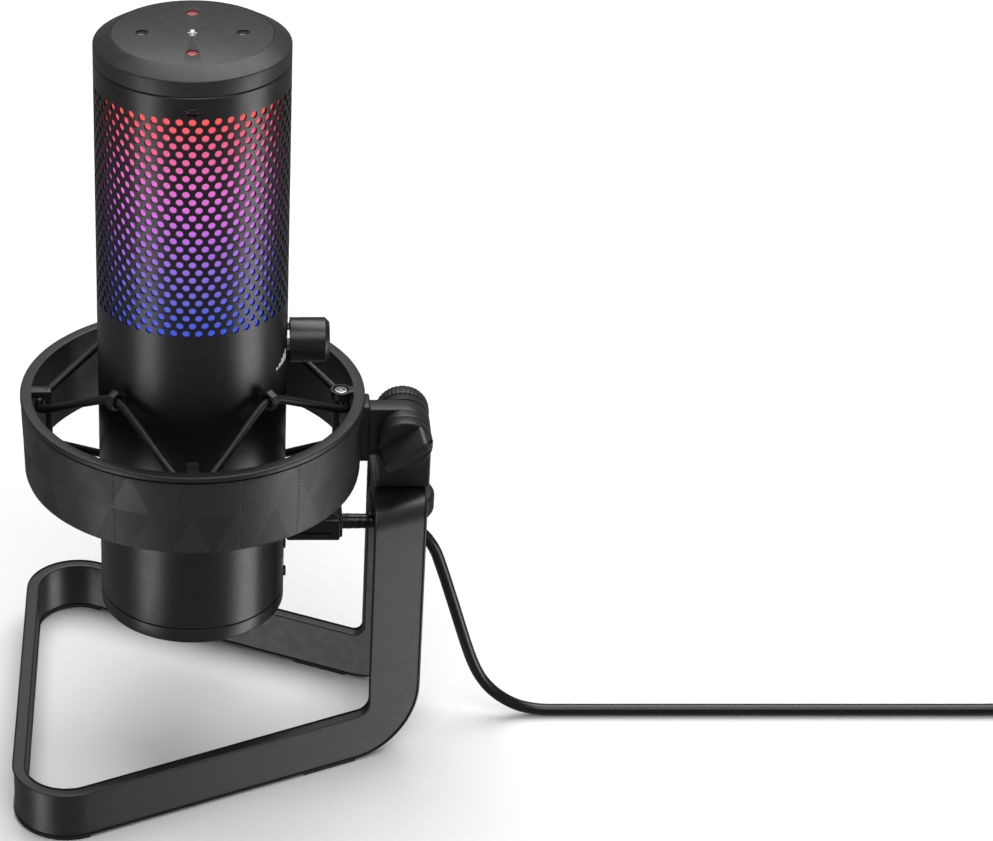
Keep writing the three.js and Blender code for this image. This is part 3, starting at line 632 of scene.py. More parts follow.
def woven(finish: Finish, along: float, strands: int) -> bpy.types.Material:
    """A finish with the crossed strands of a braid, read from the piece's own surface places, with painted
    shade in the grooves between the strands.

    Args:
        finish: the finish under the braid.
        along: how many crossings there are along the whole piece.
        strands: how many strands go round.

    Returns:
        The material.
    """
    made = finish.shader()
    where = made.node("TexCoord")
    apart = made.node("SeparateXYZ")
    made.link(where.outputs["UV"], apart.inputs["Vector"])
    around = made.maths("MULTIPLY", apart.outputs["X"], strands * FULL_TURN)
    length = made.maths("MULTIPLY", apart.outputs["Y"], along * FULL_TURN)
    first = made.maths("SINE", made.maths("ADD", length, around))
    second = made.maths("SINE", made.maths("SUBTRACT", length, around))
    height = made.maths("MAXIMUM", first, second)
    made.raised(height, 0.25, 0.00006)
    base = srgb(*finish.colour)
    # Painted shade: the colour darkens to three quarters in the grooves between the strands.
    made.tinted(made.mapped(height, 0, 1, -0.2, 1.0), tuple(v * 0.75 for v in base[:3]) + (1.0,), base)
    return made.material


def pressed(finish: Finish, length: float, height: float) -> bpy.types.Material:
    """The band's soft skin: three-cornered facets, each painted with its own light and shade as if tilted to
    the lamps, and upright rows of pressed dots, painted darker as shade.

    The band is cut by level lines and by two sets of slanting ones. The three line numbers on either side of
    a place name its facet, and white noise on them gives the facet's painted light and shade and its
    roughness.

    Args:
        finish: the finish under the dots.
        length: the band's way round, in millimetres.
        height: the band's height, in millimetres.

    Returns:
        The material.
    """
    made = finish.shader()
    where = made.node("TexCoord")
    apart = made.node("SeparateXYZ")
    made.link(where.outputs["UV"], apart.inputs["Vector"])
    row_gap = 19
    dot_gap = 1.1
    rows = round(length / row_gap)
    row_share = made.maths("MULTIPLY", apart.outputs["X"], rows)
    across = made.maths("SUBTRACT", made.maths("FRACT", row_share), 0.5)
    dots = height / dot_gap
    dot_share = made.maths("MULTIPLY", apart.outputs["Y"], dots)
    up = made.maths("SUBTRACT", made.maths("FRACT", dot_share), 0.5)
    sideways = made.maths("POWER", made.maths("MULTIPLY", across, length / rows), 2)
    upward = made.maths("POWER", made.maths("MULTIPLY", up, dot_gap), 2)
    reach = made.maths("SQRT", made.maths("ADD", sideways, upward))
    dot_core, dot_edge = 0.12, 0.30
    dot = made.mapped(reach, 1, 0, dot_core, dot_edge, is_soft=True)
    grain = made.maths("MULTIPLY", made.noise(0.00035, 2.0), 0.5)
    made.raised(made.maths("SUBTRACT", grain, dot), 0.5, 0.0003)

    column = made.maths("MULTIPLY", apart.outputs["X"], FACETS)
    row = made.maths("MULTIPLY", apart.outputs["Y"], 2)
    leaning = [made.maths("FLOOR", made.maths(way, column, made.maths("MULTIPLY", row, 0.5)))
               for way in ("ADD", "SUBTRACT")]
    cell = made.node("CombineXYZ")
    for socket, value in zip(cell.inputs, (*leaning, made.maths("FLOOR", row))):
        made.link(value, socket)
    facet_noise = made.node("TexWhiteNoise")
    made.link(cell.outputs["Vector"], facet_noise.inputs["Vector"])
    base = srgb(*finish.colour)
    # Painted light and shade: each facet's colour stands for the light that its tilt would catch, and the
    # pressed dots are darkened as painted shade.
    shade = made.maths("SUBTRACT", facet_noise.outputs["Value"], made.maths("MULTIPLY", dot, 0.5))
    made.tinted(shade, tuple(v * 0.6 for v in base[:3]) + (1.0,), tuple(v * 1.7 for v in base[:3]) + (1.0,))
    rough = made.mapped(facet_noise.outputs["Value"], finish.roughness * 1.15, finish.roughness * 0.88)
    made.link(rough, made.surface.inputs["Roughness"])
    return made.material


# ---------------------------------------------------------------- the finishes in use
MIC_SATIN = Finish("mic_satin", "mic_satin", (21, 20, 21), 0.33, Grain.SATIN, specular=0.55)
CAP_SATIN = Finish("cap_satin", "cap_satin", (36, 35, 36), 0.40, Grain.SATIN)
STAND_POWDER = Finish("stand_powder", "stand_powder", (26, 25, 26), 0.38, Grain.POWDER, specular=0.55)
MOULDED = Finish("moulded_black", "moulded_black", (23, 23, 24), 0.40, Grain.MOULDED)
BAND_SKIN = Finish("band_skin", "band_skin", (30, 29, 30), 0.42, Grain.MOULDED)
FOOT_RUBBER = Finish("foot_rubber", "foot_rubber", (16, 16, 16), 0.8, Grain.RUBBER, specular=0.3)
CORD_SHEATH = Finish("cord_sheath", "cord_sheath", (13, 13, 14), 0.27, Grain.SMOOTH)
ELASTIC = Finish("elastic_cord", "elastic_cord", (21, 21, 21), 0.42, Grain.MOULDED)
STEEL = Finish("bright_steel", "bright_steel", (188, 188, 192), 0.26, Grain.SMOOTH, metallic=1.0)
DARK_STEEL = Finish("dark_steel", "bright_steel", (70, 70, 74), 0.34, Grain.SMOOTH, metallic=1.0)
LENS_DARK = Finish("lens_dark", "lens_dark", (18, 17, 19), 0.18, Grain.SMOOTH, coat=0.6)
BOARD = Finish("circuit_board", "circuit_board", (20, 62, 40), 0.42, Grain.SATIN, coat=0.3)
BRASS = Finish("capsule_brass", "capsule_brass", (206, 172, 104), 0.3, Grain.SMOOTH, metallic=1.0)
LENS_LIT = Finish("lens_lit", "lens_lit", (150, 58, 56), 0.2, Grain.SMOOTH, coat=0.8)
DIFFUSER_WHITE = Finish("diffuser_white", "diffuser_white", (225, 222, 228), 0.6, Grain.SMOOTH)
MARK_WHITE = Finish("mark_white", "mic_satin", (214, 214, 214), 0.5, Grain.SMOOTH)


def lit_lens() -> bpy.types.Material:
    """The red lens, lit evenly from below.

    Returns:
        The material.
    """
    made = LENS_LIT.shader()
    made.surface.inputs["Emission Color"].default_value = srgb(150, 52, 50)
    made.surface.inputs["Emission Strength"].default_value = 0.32
    return made.material


# ---------------------------------------------------------------- pieces
class Pieces:
    """Makes meshes from forms, dresses them and ties them to the frame."""

    def __init__(self) -> None:
        """Starts with no materials made."""
        self.materials: dict[str, bpy.types.Material] = {}

    def dressed(self, finish: Finish) -> bpy.types.Material:
        """The finish's material, made once."""
        if finish.name not in self.materials:
            self.materials[finish.name] = finish.material()
        return self.materials[finish.name]

    def mesh(self, name: str, form: Form, crease: float = CREASE) -> bpy.types.Object:
        """A form as an object in the scene, in the frame's metres.

        Args:
            name: the piece's name.
            form: its closed form, in millimetres.
            crease: faces that meet at more than this many degrees keep a sharp edge between them.

        Returns:
            The object.
        """
        data = bpy.data.meshes.new(name)
        points = form.points * MM + np.array([AXIS_X, 0, 0])
        data.from_pydata(points.tolist(), [], [row for group in form.faces for row in group.tolist()])
        if form.uv is not None:
            layer = data.uv_layers.new(name="surface")
            places = np.zeros((len(data.loops), 2), np.float32)
            places[: form.uv.size // 2] = form.uv.reshape(-1, 2)
            layer.data.foreach_set("uv", places.ravel())
        self.smooth(data, crease)
        made = bpy.data.objects.new(name, data)
        bpy.context.scene.collection.objects.link(made)
        return made

    @staticmethod
    def smooth(data: bpy.types.Mesh, crease: float) -> None:
        """Shades a mesh smoothly, except along its sharp edges.

        Args:
            data: the mesh.
            crease: faces that meet at more than this many degrees keep a sharp edge between them.
        """
        data.validate()
        data.polygons.foreach_set("use_smooth", np.ones(len(data.polygons), bool))
        data.set_sharp_from_angle(angle=math.radians(crease))
        data.update()

    def combined(self, piece: bpy.types.Object, forms: list[Form], operation: str,
                 crease: float = CREASE) -> bpy.types.Object:
        """Joins forms to a piece, or cuts them away, one after the other.

        Args:
            piece: the piece to change.
            forms: closed forms.
            operation: UNION or DIFFERENCE.
            crease: faces that meet at more than this many degrees keep a sharp edge between them.

        Returns:
            The piece, with its mesh replaced.
        """
        for form in forms:
            tool = self.mesh("tool", form)
            change = piece.modifiers.new("change", "BOOLEAN")
            change.operation, change.object, change.solver = operation, tool, "MANIFOLD"
            graph = bpy.context.evaluated_depsgraph_get()
            graph.update()
            made = bpy.data.meshes.new_from_object(piece.evaluated_get(graph))
            piece.modifiers.remove(change)
            old, piece.data = piece.data, made
            made.name = piece.name
            bpy.data.meshes.remove(old)
            bpy.data.objects.remove(tool, do_unlink=True)
        if not len(piece.data.polygons):
            raise ValueError(f"{piece.name} came out empty")
        self.smooth(piece.data, crease)
        return piece

    def tied(self, piece: bpy.types.Object, body: str, finish: Finish,
             nodes: tuple[str, ...] = (), material: bpy.types.Material | None = None) -> bpy.types.Object:
        """Dresses a piece and lets it ride on a body.

        Args:
            piece: the finished mesh.
            body: the body that it moves with.
            finish: its finish.
            nodes: the CAD nodes that it stands for.
            material: a special material in place of the finish's own.

        Returns:
            The piece.
        """
        self.dress(piece, finish, nodes, material)
        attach(piece, body)
        log.info("%s: %d faces on %s", piece.name, len(piece.data.polygons), body)
        return piece

    def dress(self, piece: bpy.types.Object, finish: Finish, nodes: tuple[str, ...],
              material: bpy.types.Material | None) -> None:
        """Gives a piece its material, and hides the CAD nodes that it stands for.

        Args:
            piece: the finished mesh.
            finish: its finish.
            nodes: the CAD nodes that it stands for.
            material: a special material in place of the finish's own.
        """
        piece.data.materials.clear()
        piece.data.materials.append(material or self.dressed(finish))
        if nodes:
            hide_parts(*nodes)

    def stretched(self, piece: bpy.types.Object, bodies: tuple[str, str], start: tuple[float, float, float],
                  end: tuple[float, float, float], finish: Finish, nodes: tuple[str, ...],
                  material: bpy.types.Material | None = None) -> bpy.types.Object:
        """Dresses a soft piece that crosses the joint between two bodies.

        Args:
            piece: the finished mesh.
            bodies: the body at its start and the body at its end.
            start: where it begins to leave the first body, in millimetres from the microphone's axis; not
                used.
            end: where it is wholly on the second; not used.
            finish: its finish.
            nodes: the CAD nodes that it stands for.
            material: a special material in place of the finish's own.

        Returns:
            The piece.
        """
        self.dress(piece, finish, nodes, material)
        places = [(AXIS_X + x * MM, y * MM, z * MM) for x, y, z in (start, end)]
        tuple(places[0])
        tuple(places[1])
        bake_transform(piece)
        log.info("%s: %d faces between %s and %s", piece.name, len(piece.data.polygons), *bodies)
        return piece

    def kept(self, node: str, finish: Finish) -> None:
        """Leaves a CAD node showing.

        Args:
            node: the node's name.
            finish: what it is dressed in.
        """
        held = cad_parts[node]
        held.data.materials.clear()
        held.data.materials.append(self.dressed(finish))
        log.info("%s: kept", node)


# ---------------------------------------------------------------- studio
@dataclass
class Studio:
    """Floor, lights and camera."""

    pieces: Pieces
    look_down: float = 59.76
    place: tuple[float, float, float] = (AXIS_X, -0.78235, 0.5619)
    lens: float = 111.66
    shift: float = 0.3062
    aim_height: float = 0.13
    ambient: float = 0.18
    floor_reach: float = 6.0
    floor_lines: int = 9
    floor_level: float = -0.0002

    def camera(self) -> None:
        """The camera, level and in front of the microphone, which stands left of the middle of its view."""
        data = bpy.data.cameras.new("camera")
        data.lens, data.sensor_width, data.shift_x = self.lens, 36.0, self.shift
        made = bpy.data.objects.new("camera", data)
        made.location = self.place
        made.rotation_euler = (math.radians(self.look_down), 0, 0)
        bpy.context.scene.collection.objects.link(made)
        bpy.context.scene.camera = made

    def softbox(self, name: str, azimuth: float, height: float, distance: float,
                size: tuple[float, float], power: float) -> None:
        """A flat soft light that faces the microphone's middle.

        Args:
            name: the light's name.
            azimuth: degrees from the front towards +X.
            height: its height, in metres.
            distance: how far off it stands along the floor.
            size: its width and height, in metres.
            power: in watts.
        """
        data = bpy.data.lights.new(name, "AREA")
        data.shape, data.size, data.size_y, data.energy = "RECTANGLE", size[0], size[1], power
        made = bpy.data.objects.new(name, data)
        turn = math.radians(azimuth)
        at = np.array([AXIS_X + distance * math.sin(turn), -distance * math.cos(turn), height])
        aim = np.array([AXIS_X, 0.0, self.aim_height]) - at
        made.location = at
        level = math.hypot(aim[0], aim[1])
        made.rotation_euler = (math.atan2(level, -aim[2]), 0, math.atan2(-aim[0], aim[1]))
        bpy.context.scene.collection.objects.link(made)

    def floor(self) -> None:
        """A wide pale floor at the feet, which the side boxes shine through and no dark part mirrors."""
        steps = np.linspace(-self.floor_reach, self.floor_reach, self.floor_lines)
        x, y = np.meshgrid(steps, steps)
        faces, _ = grid_faces(self.floor_lines, self.floor_lines, False, False)
        points = np.stack([x, y, np.full_like(x, self.floor_level)], -1).reshape(-1, 3)
        data = bpy.data.meshes.new("floor")
        data.from_pydata(points.tolist(), [], faces.tolist())
        made = bpy.data.objects.new("floor", data)
        bpy.context.scene.collection.objects.link(made)
        pale = Shader("floor_pale")
        pale.tinted(pale.noise(0.4), (0.86, 0.86, 0.86, 1), (0.88, 0.88, 0.88, 1))
        pale.surface.inputs["Roughness"].default_value = 0.9
        pale.surface.inputs["Specular IOR Level"].default_value = 0.1
        data.materials.append(pale.material)
        made.visible_glossy = False
        made.visible_shadow = False

    def build(self) -> None:
        """Sets up the view, the light and the floor."""
        scene = bpy.context.scene
        scene.view_settings.view_transform = "Standard"
        world = bpy.data.worlds.new("studio")
        world.use_nodes = True
        world.node_tree.nodes["Background"].inputs["Color"].default_value = (1, 1, 1, 1)
        world.node_tree.nodes["Background"].inputs["Strength"].default_value = self.ambient
        scene.world = world
        self.camera()
        self.floor()
        self.softbox("left_box", -54, -0.55, 1.4, (0.60, 1.3), 6.5)
        self.softbox("right_box", 74, -0.55, 1.4, (0.80, 1.3), 11.5)
        self.softbox("top_box", 160, 2.2, 0.9, (2.4, 2.0), 60)
        self.softbox("front_box", 8, 2.4, 1.6, (2.0, 1.6), 30)


# ---------------------------------------------------------------- cable
@dataclass
class Cable:
    """The lead from the microphone: plug grip, strain relief, cord, coil and far plug."""

    pieces: Pieces
    radius: float = 1.8
    usb: float = USB_Z
    grip_half: float = 5.6
    grip_thick: float = 4.0
    relief_bend: float = 16.0
    relief_straight: float = 58.0
    coil_centre: float = 286.0
    coil_radius: float = 20.0
    turns: int = 3
    layers: int = 4
    lift: float = 0.8
    fall: list[tuple[float, float]] = field(default_factory=lambda: [
        (62.5, 70.36), (66.0, 68.9), (69.0, 66.7), (71.5, 63.6), (73.4, 60.0), (75.4, 54.3), (79.1, 42.5),
        (84.1, 26.2), (86.3, 19.9), (88.9, 14.4), (92.2, 9.9), (96.4, 6.2), (101.5, 3.4), (108.0, 1.95),
        (116.0, 1.8), (140.0, 1.8), (180.0, 1.8), (220.0, 1.8), (250.0, 1.9), (272.0, 2.5),
    ])
    tail: list[tuple[float, float, float]] = field(default_factory=lambda: [
        (300.0, 0.0, 13.23), (305.0, -0.9, 10.6), (312.0, -4.4, 7.2), (317.0, -10.0, 4.9),
        (319.4, -17.0, 3.9), (320.0, -25.0, 3.7),
    ])

    @property
    def pitch(self) -> float:
        """How far apart the coil's turns lie."""
        return 2 * self.radius * 1.04

    @property
    def outer_turn(self) -> float:
        """The radius of the coil's outermost turn."""
        return self.coil_radius + self.turns / 2 * self.pitch

    def coil(self) -> Array:
        """The coil's centre line.

        It goes round clockwise as seen from above. Each layer has the same number of turns, whose radius
        falls evenly on the first layer and rises on the next, and so on. Each layer after the first climbs
        one pitch over its first sixth of a turn, by the smooth step 3s^2 - 2s^3.

        Returns:
            The centre line's points.
        """
        wound = np.linspace(0, self.turns * self.layers, self.turns * self.layers * 48 + 1)
        layer = np.minimum(wound // self.turns, self.layers - 1)
        within = wound - layer * self.turns
        share = within / self.turns
        inwards = np.where(layer % 2 == 0, share, 1 - share)
        reach = self.outer_turn - inwards * self.turns * self.pitch
        climb = np.clip(within * 6, 0, 1)
        step = np.where(layer > 0, climb**2 * (3 - 2 * climb), 1)
        height = self.lift + self.radius + self.pitch * (layer - 1 + step)
        turn = math.pi / 2 - wound * FULL_TURN
        x = self.coil_centre + reach * np.cos(turn)
        y = -self.outer_turn + reach * np.sin(turn)
        return np.stack([x, y, height], -1)

    def route(self) -> Array:
        """The whole cord's centre line, in even steps.

        Returns:
            The centre line's points.
        """
        coil = self.coil()
        down = [(x, 0.0, z) for x, z in self.fall]
        every, spacing = 2, 1.6
        return smooth_path(np.concatenate([down, coil[::every], self.tail]), spacing)

    def grip(self) -> None:
        """The plug's moulded grip: a rounded block with ledges along it, ribs and a stepped collar."""
        corner = (self.grip_half, self.grip_thick)
        outline = rectangle((-corner[0], -corner[1]), corner, 1.6, 6)
        made = slab(outline, 28.1, 44.0, 0.5).placed(ALONG_X, (0, 0, self.usb))
        collar = slab(outline * 0.84, 43.0, 44.8, 0.4).placed(ALONG_X, (0, 0, self.usb))
        piece = self.pieces.combined(self.pieces.mesh("plug_grip_moulded", made), [collar], "UNION")
        edges = [side * self.grip_half for side in (-1, 1)]
        ledges = [block((27.0, edge - 0.5, self.usb - 1.2), (41.5, edge + 0.5, self.usb - 0.6), 0.1)
                  for edge in edges]
        ribs = [block((31.0 + 2.2 * k, -6.5, self.usb + 3.75), (32.0 + 2.2 * k, 6.5, self.usb + 5.0), 0.1)
                for k in range(4)]
        self.pieces.combined(piece, ledges + ribs, "DIFFERENCE")
        self.pieces.stretched(piece, ("microphone", "head"), (29, 0, self.usb), (44, 0, self.usb),
                              CORD_SHEATH, ("plug_grip",))

    def relief(self) -> bpy.types.Object:
        """The strain relief: a tube that tapers to the cord, ringed by soft grooves and bent down at its end.

        Returns:
            The piece.
        """
        radius, start = self.relief_bend, self.relief_straight
        straight = [(x, 0.0, self.usb) for x in (45.0, 50.0, 55.0, start)]
        bend = [(x, 0.0, self.usb - radius + math.sqrt(radius**2 - (x - start) ** 2)) for x in (60.2, 62.2)]
        path = smooth_path([*straight, *bend], 0.3)
        run = np.linspace(0, 1, len(path))
        groove = 0.06 * np.clip(np.sin(run * 7 * FULL_TURN), 0, 1) * (run < 0.8)
        piece = self.pieces.mesh("strain_relief_soft", tube(path, 2.35 - 0.3 * run - groove, 24))
        return self.pieces.stretched(piece, ("head", "swivel"), (46, 0, self.usb), (61, 0, self.usb),
                                     CORD_SHEATH, ("strain_relief",))

    def tie(self) -> bpy.types.Object:
        """The strap round the coil: a flat ribbon carried round the coil's own cross-section.

        Returns:
            The piece.
        """
        inner = 2 * self.coil_radius - self.outer_turn - self.radius
        top = self.lift + 2 * self.radius + self.pitch * (self.layers - 1)
        room, thick, half_wide = 0.8, 0.5, 4.0
        outside = rectangle((inner - room, 0.1), (self.outer_turn + self.radius + room, top + room), 1.0, 6)
        rings = [inset(outside, depth) for depth in (0.0, thick, thick, 0.0)]
        across = (-half_wide, -half_wide, half_wide, half_wide)
        points = np.stack([np.column_stack([ring[:, 0], np.full(len(ring), y), ring[:, 1]])
                           for ring, y in zip(rings, across)])
        faces, uv = grid_faces(4, len(outside), True, True)
        strap = Form(points.reshape(-1, 3), [faces], uv).outward().turned(-100)
        strap.points += np.array([self.coil_centre, -self.outer_turn, 0])
        piece = self.pieces.mesh("coil_strap", strap)
        material = woven(FOOT_RUBBER, 50, 12)
        return self.pieces.tied(piece, "stand", FOOT_RUBBER, ("cable_tie",), material)

    def far_plug(self) -> bpy.types.Object:
        """The far plug's grip: a rounded block with finger ledges on both sides.

        Returns:
            The piece.
        """
        left, right, near, far = 314.2, 325.8, -47.0, -25.3
        outline = eased([(left, near, 1.6), (right, near, 1.6), (right, far, 2.6), (left, far, 2.6)], 6)
        piece = self.pieces.mesh("far_plug_moulded", slab(outline, 0.0, 7.4, 1.2, 5))
        out, gap = 6.1, 2.6
        ledges = [block((side * out + 319.6, -44 + gap * k, 1.8),
                        (side * out + 320.4, -43 + gap * k, 5.6), 0.1)
                  for side in (-1, 1) for k in range(5)]
        self.pieces.combined(piece, ledges, "DIFFERENCE")
        return self.pieces.tied(piece, "stand", CORD_SHEATH, ("host_plug_grip",))

    def build(self) -> None:
        path = self.route()
        cord = self.pieces.mesh("cord", tube(path, self.radius, 12))
        self.pieces.stretched(cord, ("swivel", "stand"), (62.5, 0, 70), (74, 0, 70), CORD_SHEATH,
                              ("cable_run", "cable_coil", "cable_tail"))
        self.grip()
        relief = self.relief()
        strap, plug = self.tie(), self.far_plug()
        self.pieces.kept("host_plug_shell", STEEL)
        self.pieces.kept("plug_shell", STEEL)


# ---------------------------------------------------------------- stand
@dataclass
class Stand:
    """The table stand, bent from flat bar, with its pads and the lock knob under its bridge."""

    pieces: Pieces
    thick: float = 4.0
    foot: float = 0.8
    strip: float = 15.6
    top: float = 86.6
    slant: float = math.radians(25.2)
    left: float = -53.3
    face_at_axis: float = 47.855
    corner: float = 16.25
    up_left: float = 53.3
    up_right: float = 69.0
    bend: float = 6.5
    heel_outside: float = 21.0
    heel_inside: float = 3.5
    join: float = 20.0
    ease: float = 0.45

    def face(self, x: Array | float, depth: float | Array) -> Array | float:
        """How far the plate's surface, depth behind its outer face, lies from the middle at x."""
        return self.face_at_axis - math.tan(self.slant) * x - depth / math.cos(self.slant)

    def half(self) -> Array:
        """The four edges of one half of the bar, from the middle of its left end to the middle of the bridge.

        At each step the bar's section is a four-sided figure: outer face low and high, then inner face high
        and low. Along the base, low and high differ in height. At the corner both follow their own quarter
        ellipse, up the upright they differ in x, and round the bend their depth and height follow a quarter
        circle.

        Returns:
            An array of step, edge and x, y, z, with y positive.
        """
        low, high = self.foot, self.foot + self.strip
        turn = math.pi / 2 + self.slant
        swept = np.linspace(0, turn, 20)
        sides = []
        for depth in (0.0, self.thick):
            radius = self.corner - depth
            x_left = self.left + depth
            setback = radius * math.tan(turn / 2)
            y_corner = self.face(x_left, depth)
            centre = np.array([x_left + radius, y_corner - setback])
            arc = centre + radius * np.stack([-np.cos(swept), np.sin(swept)], -1)
            straight_end = np.array([[x_left, 0.0]])
            x_run = np.linspace(arc[-1, 0], self.up_left - self.join, 8)[1:]
            run = np.stack([x_run, self.face(x_run, depth)], -1)
            sides.append(np.concatenate([straight_end, arc, run]))
        levels = ((sides[0], low), (sides[0], high), (sides[1], high), (sides[1], low))
        plan = [np.column_stack([side, np.full(len(side), z)]) for side, z in levels]
        base = np.stack(plan, 1)

        quarter = np.linspace(0, math.pi / 2, 14)
        cosine = math.cos(self.slant)
        outside, inside = self.heel_outside, self.heel_inside
        x_out = self.up_right - outside * cosine + outside * cosine * np.sin(quarter)
        z_out = low + outside - outside * np.cos(quarter)
        x_in = self.up_left - inside * cosine + inside * cosine * np.sin(quarter)
        z_in = high + inside - inside * np.cos(quarter)
        bend_top = self.top - self.bend
        climb = np.linspace(0, 1, 8)[1:]
        x_out = np.concatenate([x_out, np.full(len(climb), self.up_right)])
        z_out = np.concatenate([z_out, z_out[-1] + (bend_top - z_out[-1]) * climb])
        x_in = np.concatenate([x_in, np.full(len(climb), self.up_left)])
        z_in = np.concatenate([z_in, z_in[-1] + (bend_top - z_in[-1]) * climb])
        upright = self.section(x_out, z_out, x_in, z_in, 0.0, self.thick)

        angle = np.linspace(0, math.pi / 2, 12)[1:]
        inner = self.bend - self.thick
        full = np.ones(len(angle))
        bent = self.section(full * self.up_right, bend_top + self.bend * np.sin(angle),
                            full * self.up_left, bend_top + self.bend * np.sin(angle),
                            self.bend * (1 - np.cos(angle)), self.thick + inner * (1 - np.cos(angle)),
                            bend_top + inner * np.sin(angle))
        middle = bent[-1:].copy()
        middle[:, :, 1] = 0.0
        return np.concatenate([base, upright, bent, middle])

    def section(self, x_out: Array, z_out: Array, x_in: Array, z_in: Array, near: Array | float,
                far: Array | float, z_far: Array | None = None) -> Array:
        """Sections whose outer edge is at (x_out, z_out) and inner edge at (x_in, z_in).

        Args:
            x_out: x of the outer edge at each step.
            z_out: its height.
            x_in: x of the inner edge.
            z_in: its height.
            near: how deep the outer face lies.
            far: how deep the inner face lies.
            z_far: the inner face's height, where it isn't the outer face's.

        Returns:
            An array of step, edge and x, y, z.
        """
        z_back_out = z_out if z_far is None else z_far
        z_back_in = z_in if z_far is None else z_far
        edges = [(x_out, z_out, near), (x_in, z_in, near), (x_in, z_back_in, far), (x_out, z_back_out, far)]
        return np.stack([np.stack([x, self.face(x, depth), z], -1) for x, z, depth in edges], 1)

    def form(self) -> Form:
        """The whole bar: each four-sided section with its corners rounded, carried round the closed loop.

        Returns:
            The closed form.
        """
        rear = self.half()
        front = rear[::-1] * np.array([1.0, -1.0, 1.0])
        loop = np.concatenate([rear, front[1:-1]])
        width = np.linalg.norm(loop[:, 1] - loop[:, 0], axis=1)
        thick = np.linalg.norm(loop[:, 3] - loop[:, 0], axis=1)
        steps = np.linspace(0, math.pi / 2, 5)
        curl = np.stack([1 - np.sin(steps), 1 - np.cos(steps)], -1)
        corners = [(0, 0, curl), (1, 0, curl[::-1]), (1, 1, curl), (0, 1, curl[::-1])]
        rows = []
        for across, deep, arc in corners:
            u = self.ease * arc[:, 0][None] / width[:, None]
            v = self.ease * arc[:, 1][None] / thick[:, None]
            u = 1 - u if across else u
            v = 1 - v if deep else v
            u, v = u[..., None], v[..., None]
            a, b, c, d = (loop[:, k][:, None] for k in range(4))
            rows.append((1 - u) * (1 - v) * a + u * (1 - v) * b + u * v * c + (1 - u) * v * d)
        ring = np.concatenate(rows, 1)
        faces, uv = grid_faces(ring.shape[0], ring.shape[1], True, True)
        return Form(ring.reshape(-1, 3), [faces], uv).outward()

    def build(self) -> None:
        """Builds the bar, drills it for the stud, and makes the pads and the lock knob."""
        piece = self.pieces.mesh("stand_bar", self.form(), 40)
        hole = disc(STUD_BORE, self.top - 8, self.top + 3, 0.1, 48).placed(ALONG_Z, (PIVOT_X, 0, 0))
        self.pieces.combined(piece, [hole], "DIFFERENCE")
        self.pieces.tied(piece, "stand", STAND_POWDER, ("stand_frame",))
        for place in ("left_front", "left_rear", "right_front", "right_rear"):
            self.pieces.kept("foot_pad_" + place, FOOT_RUBBER)
        low, well, high, reach = 75.2, 77.0, 82.3, 9.9
        corners = [(0, low, 0), (reach, low, 1.6), (reach, high, 1.6), (STUD_BORE, high, 0.3),
                   (STUD_BORE, well, 0), (0, well, 0)]
        knob = lathe(eased(corners, 8, is_loop=False), 120, lambda turn: 1 - 0.012 * np.cos(turn * 30) ** 8)
        piece = self.pieces.mesh("lock_knob_turned", knob.placed(ALONG_Z, (PIVOT_X, 0, 0)), 50)
        self.pieces.tied(piece, "lock", MOULDED, ("lock_knob",))
        self.pieces.kept("lock_stud", DARK_STEEL)


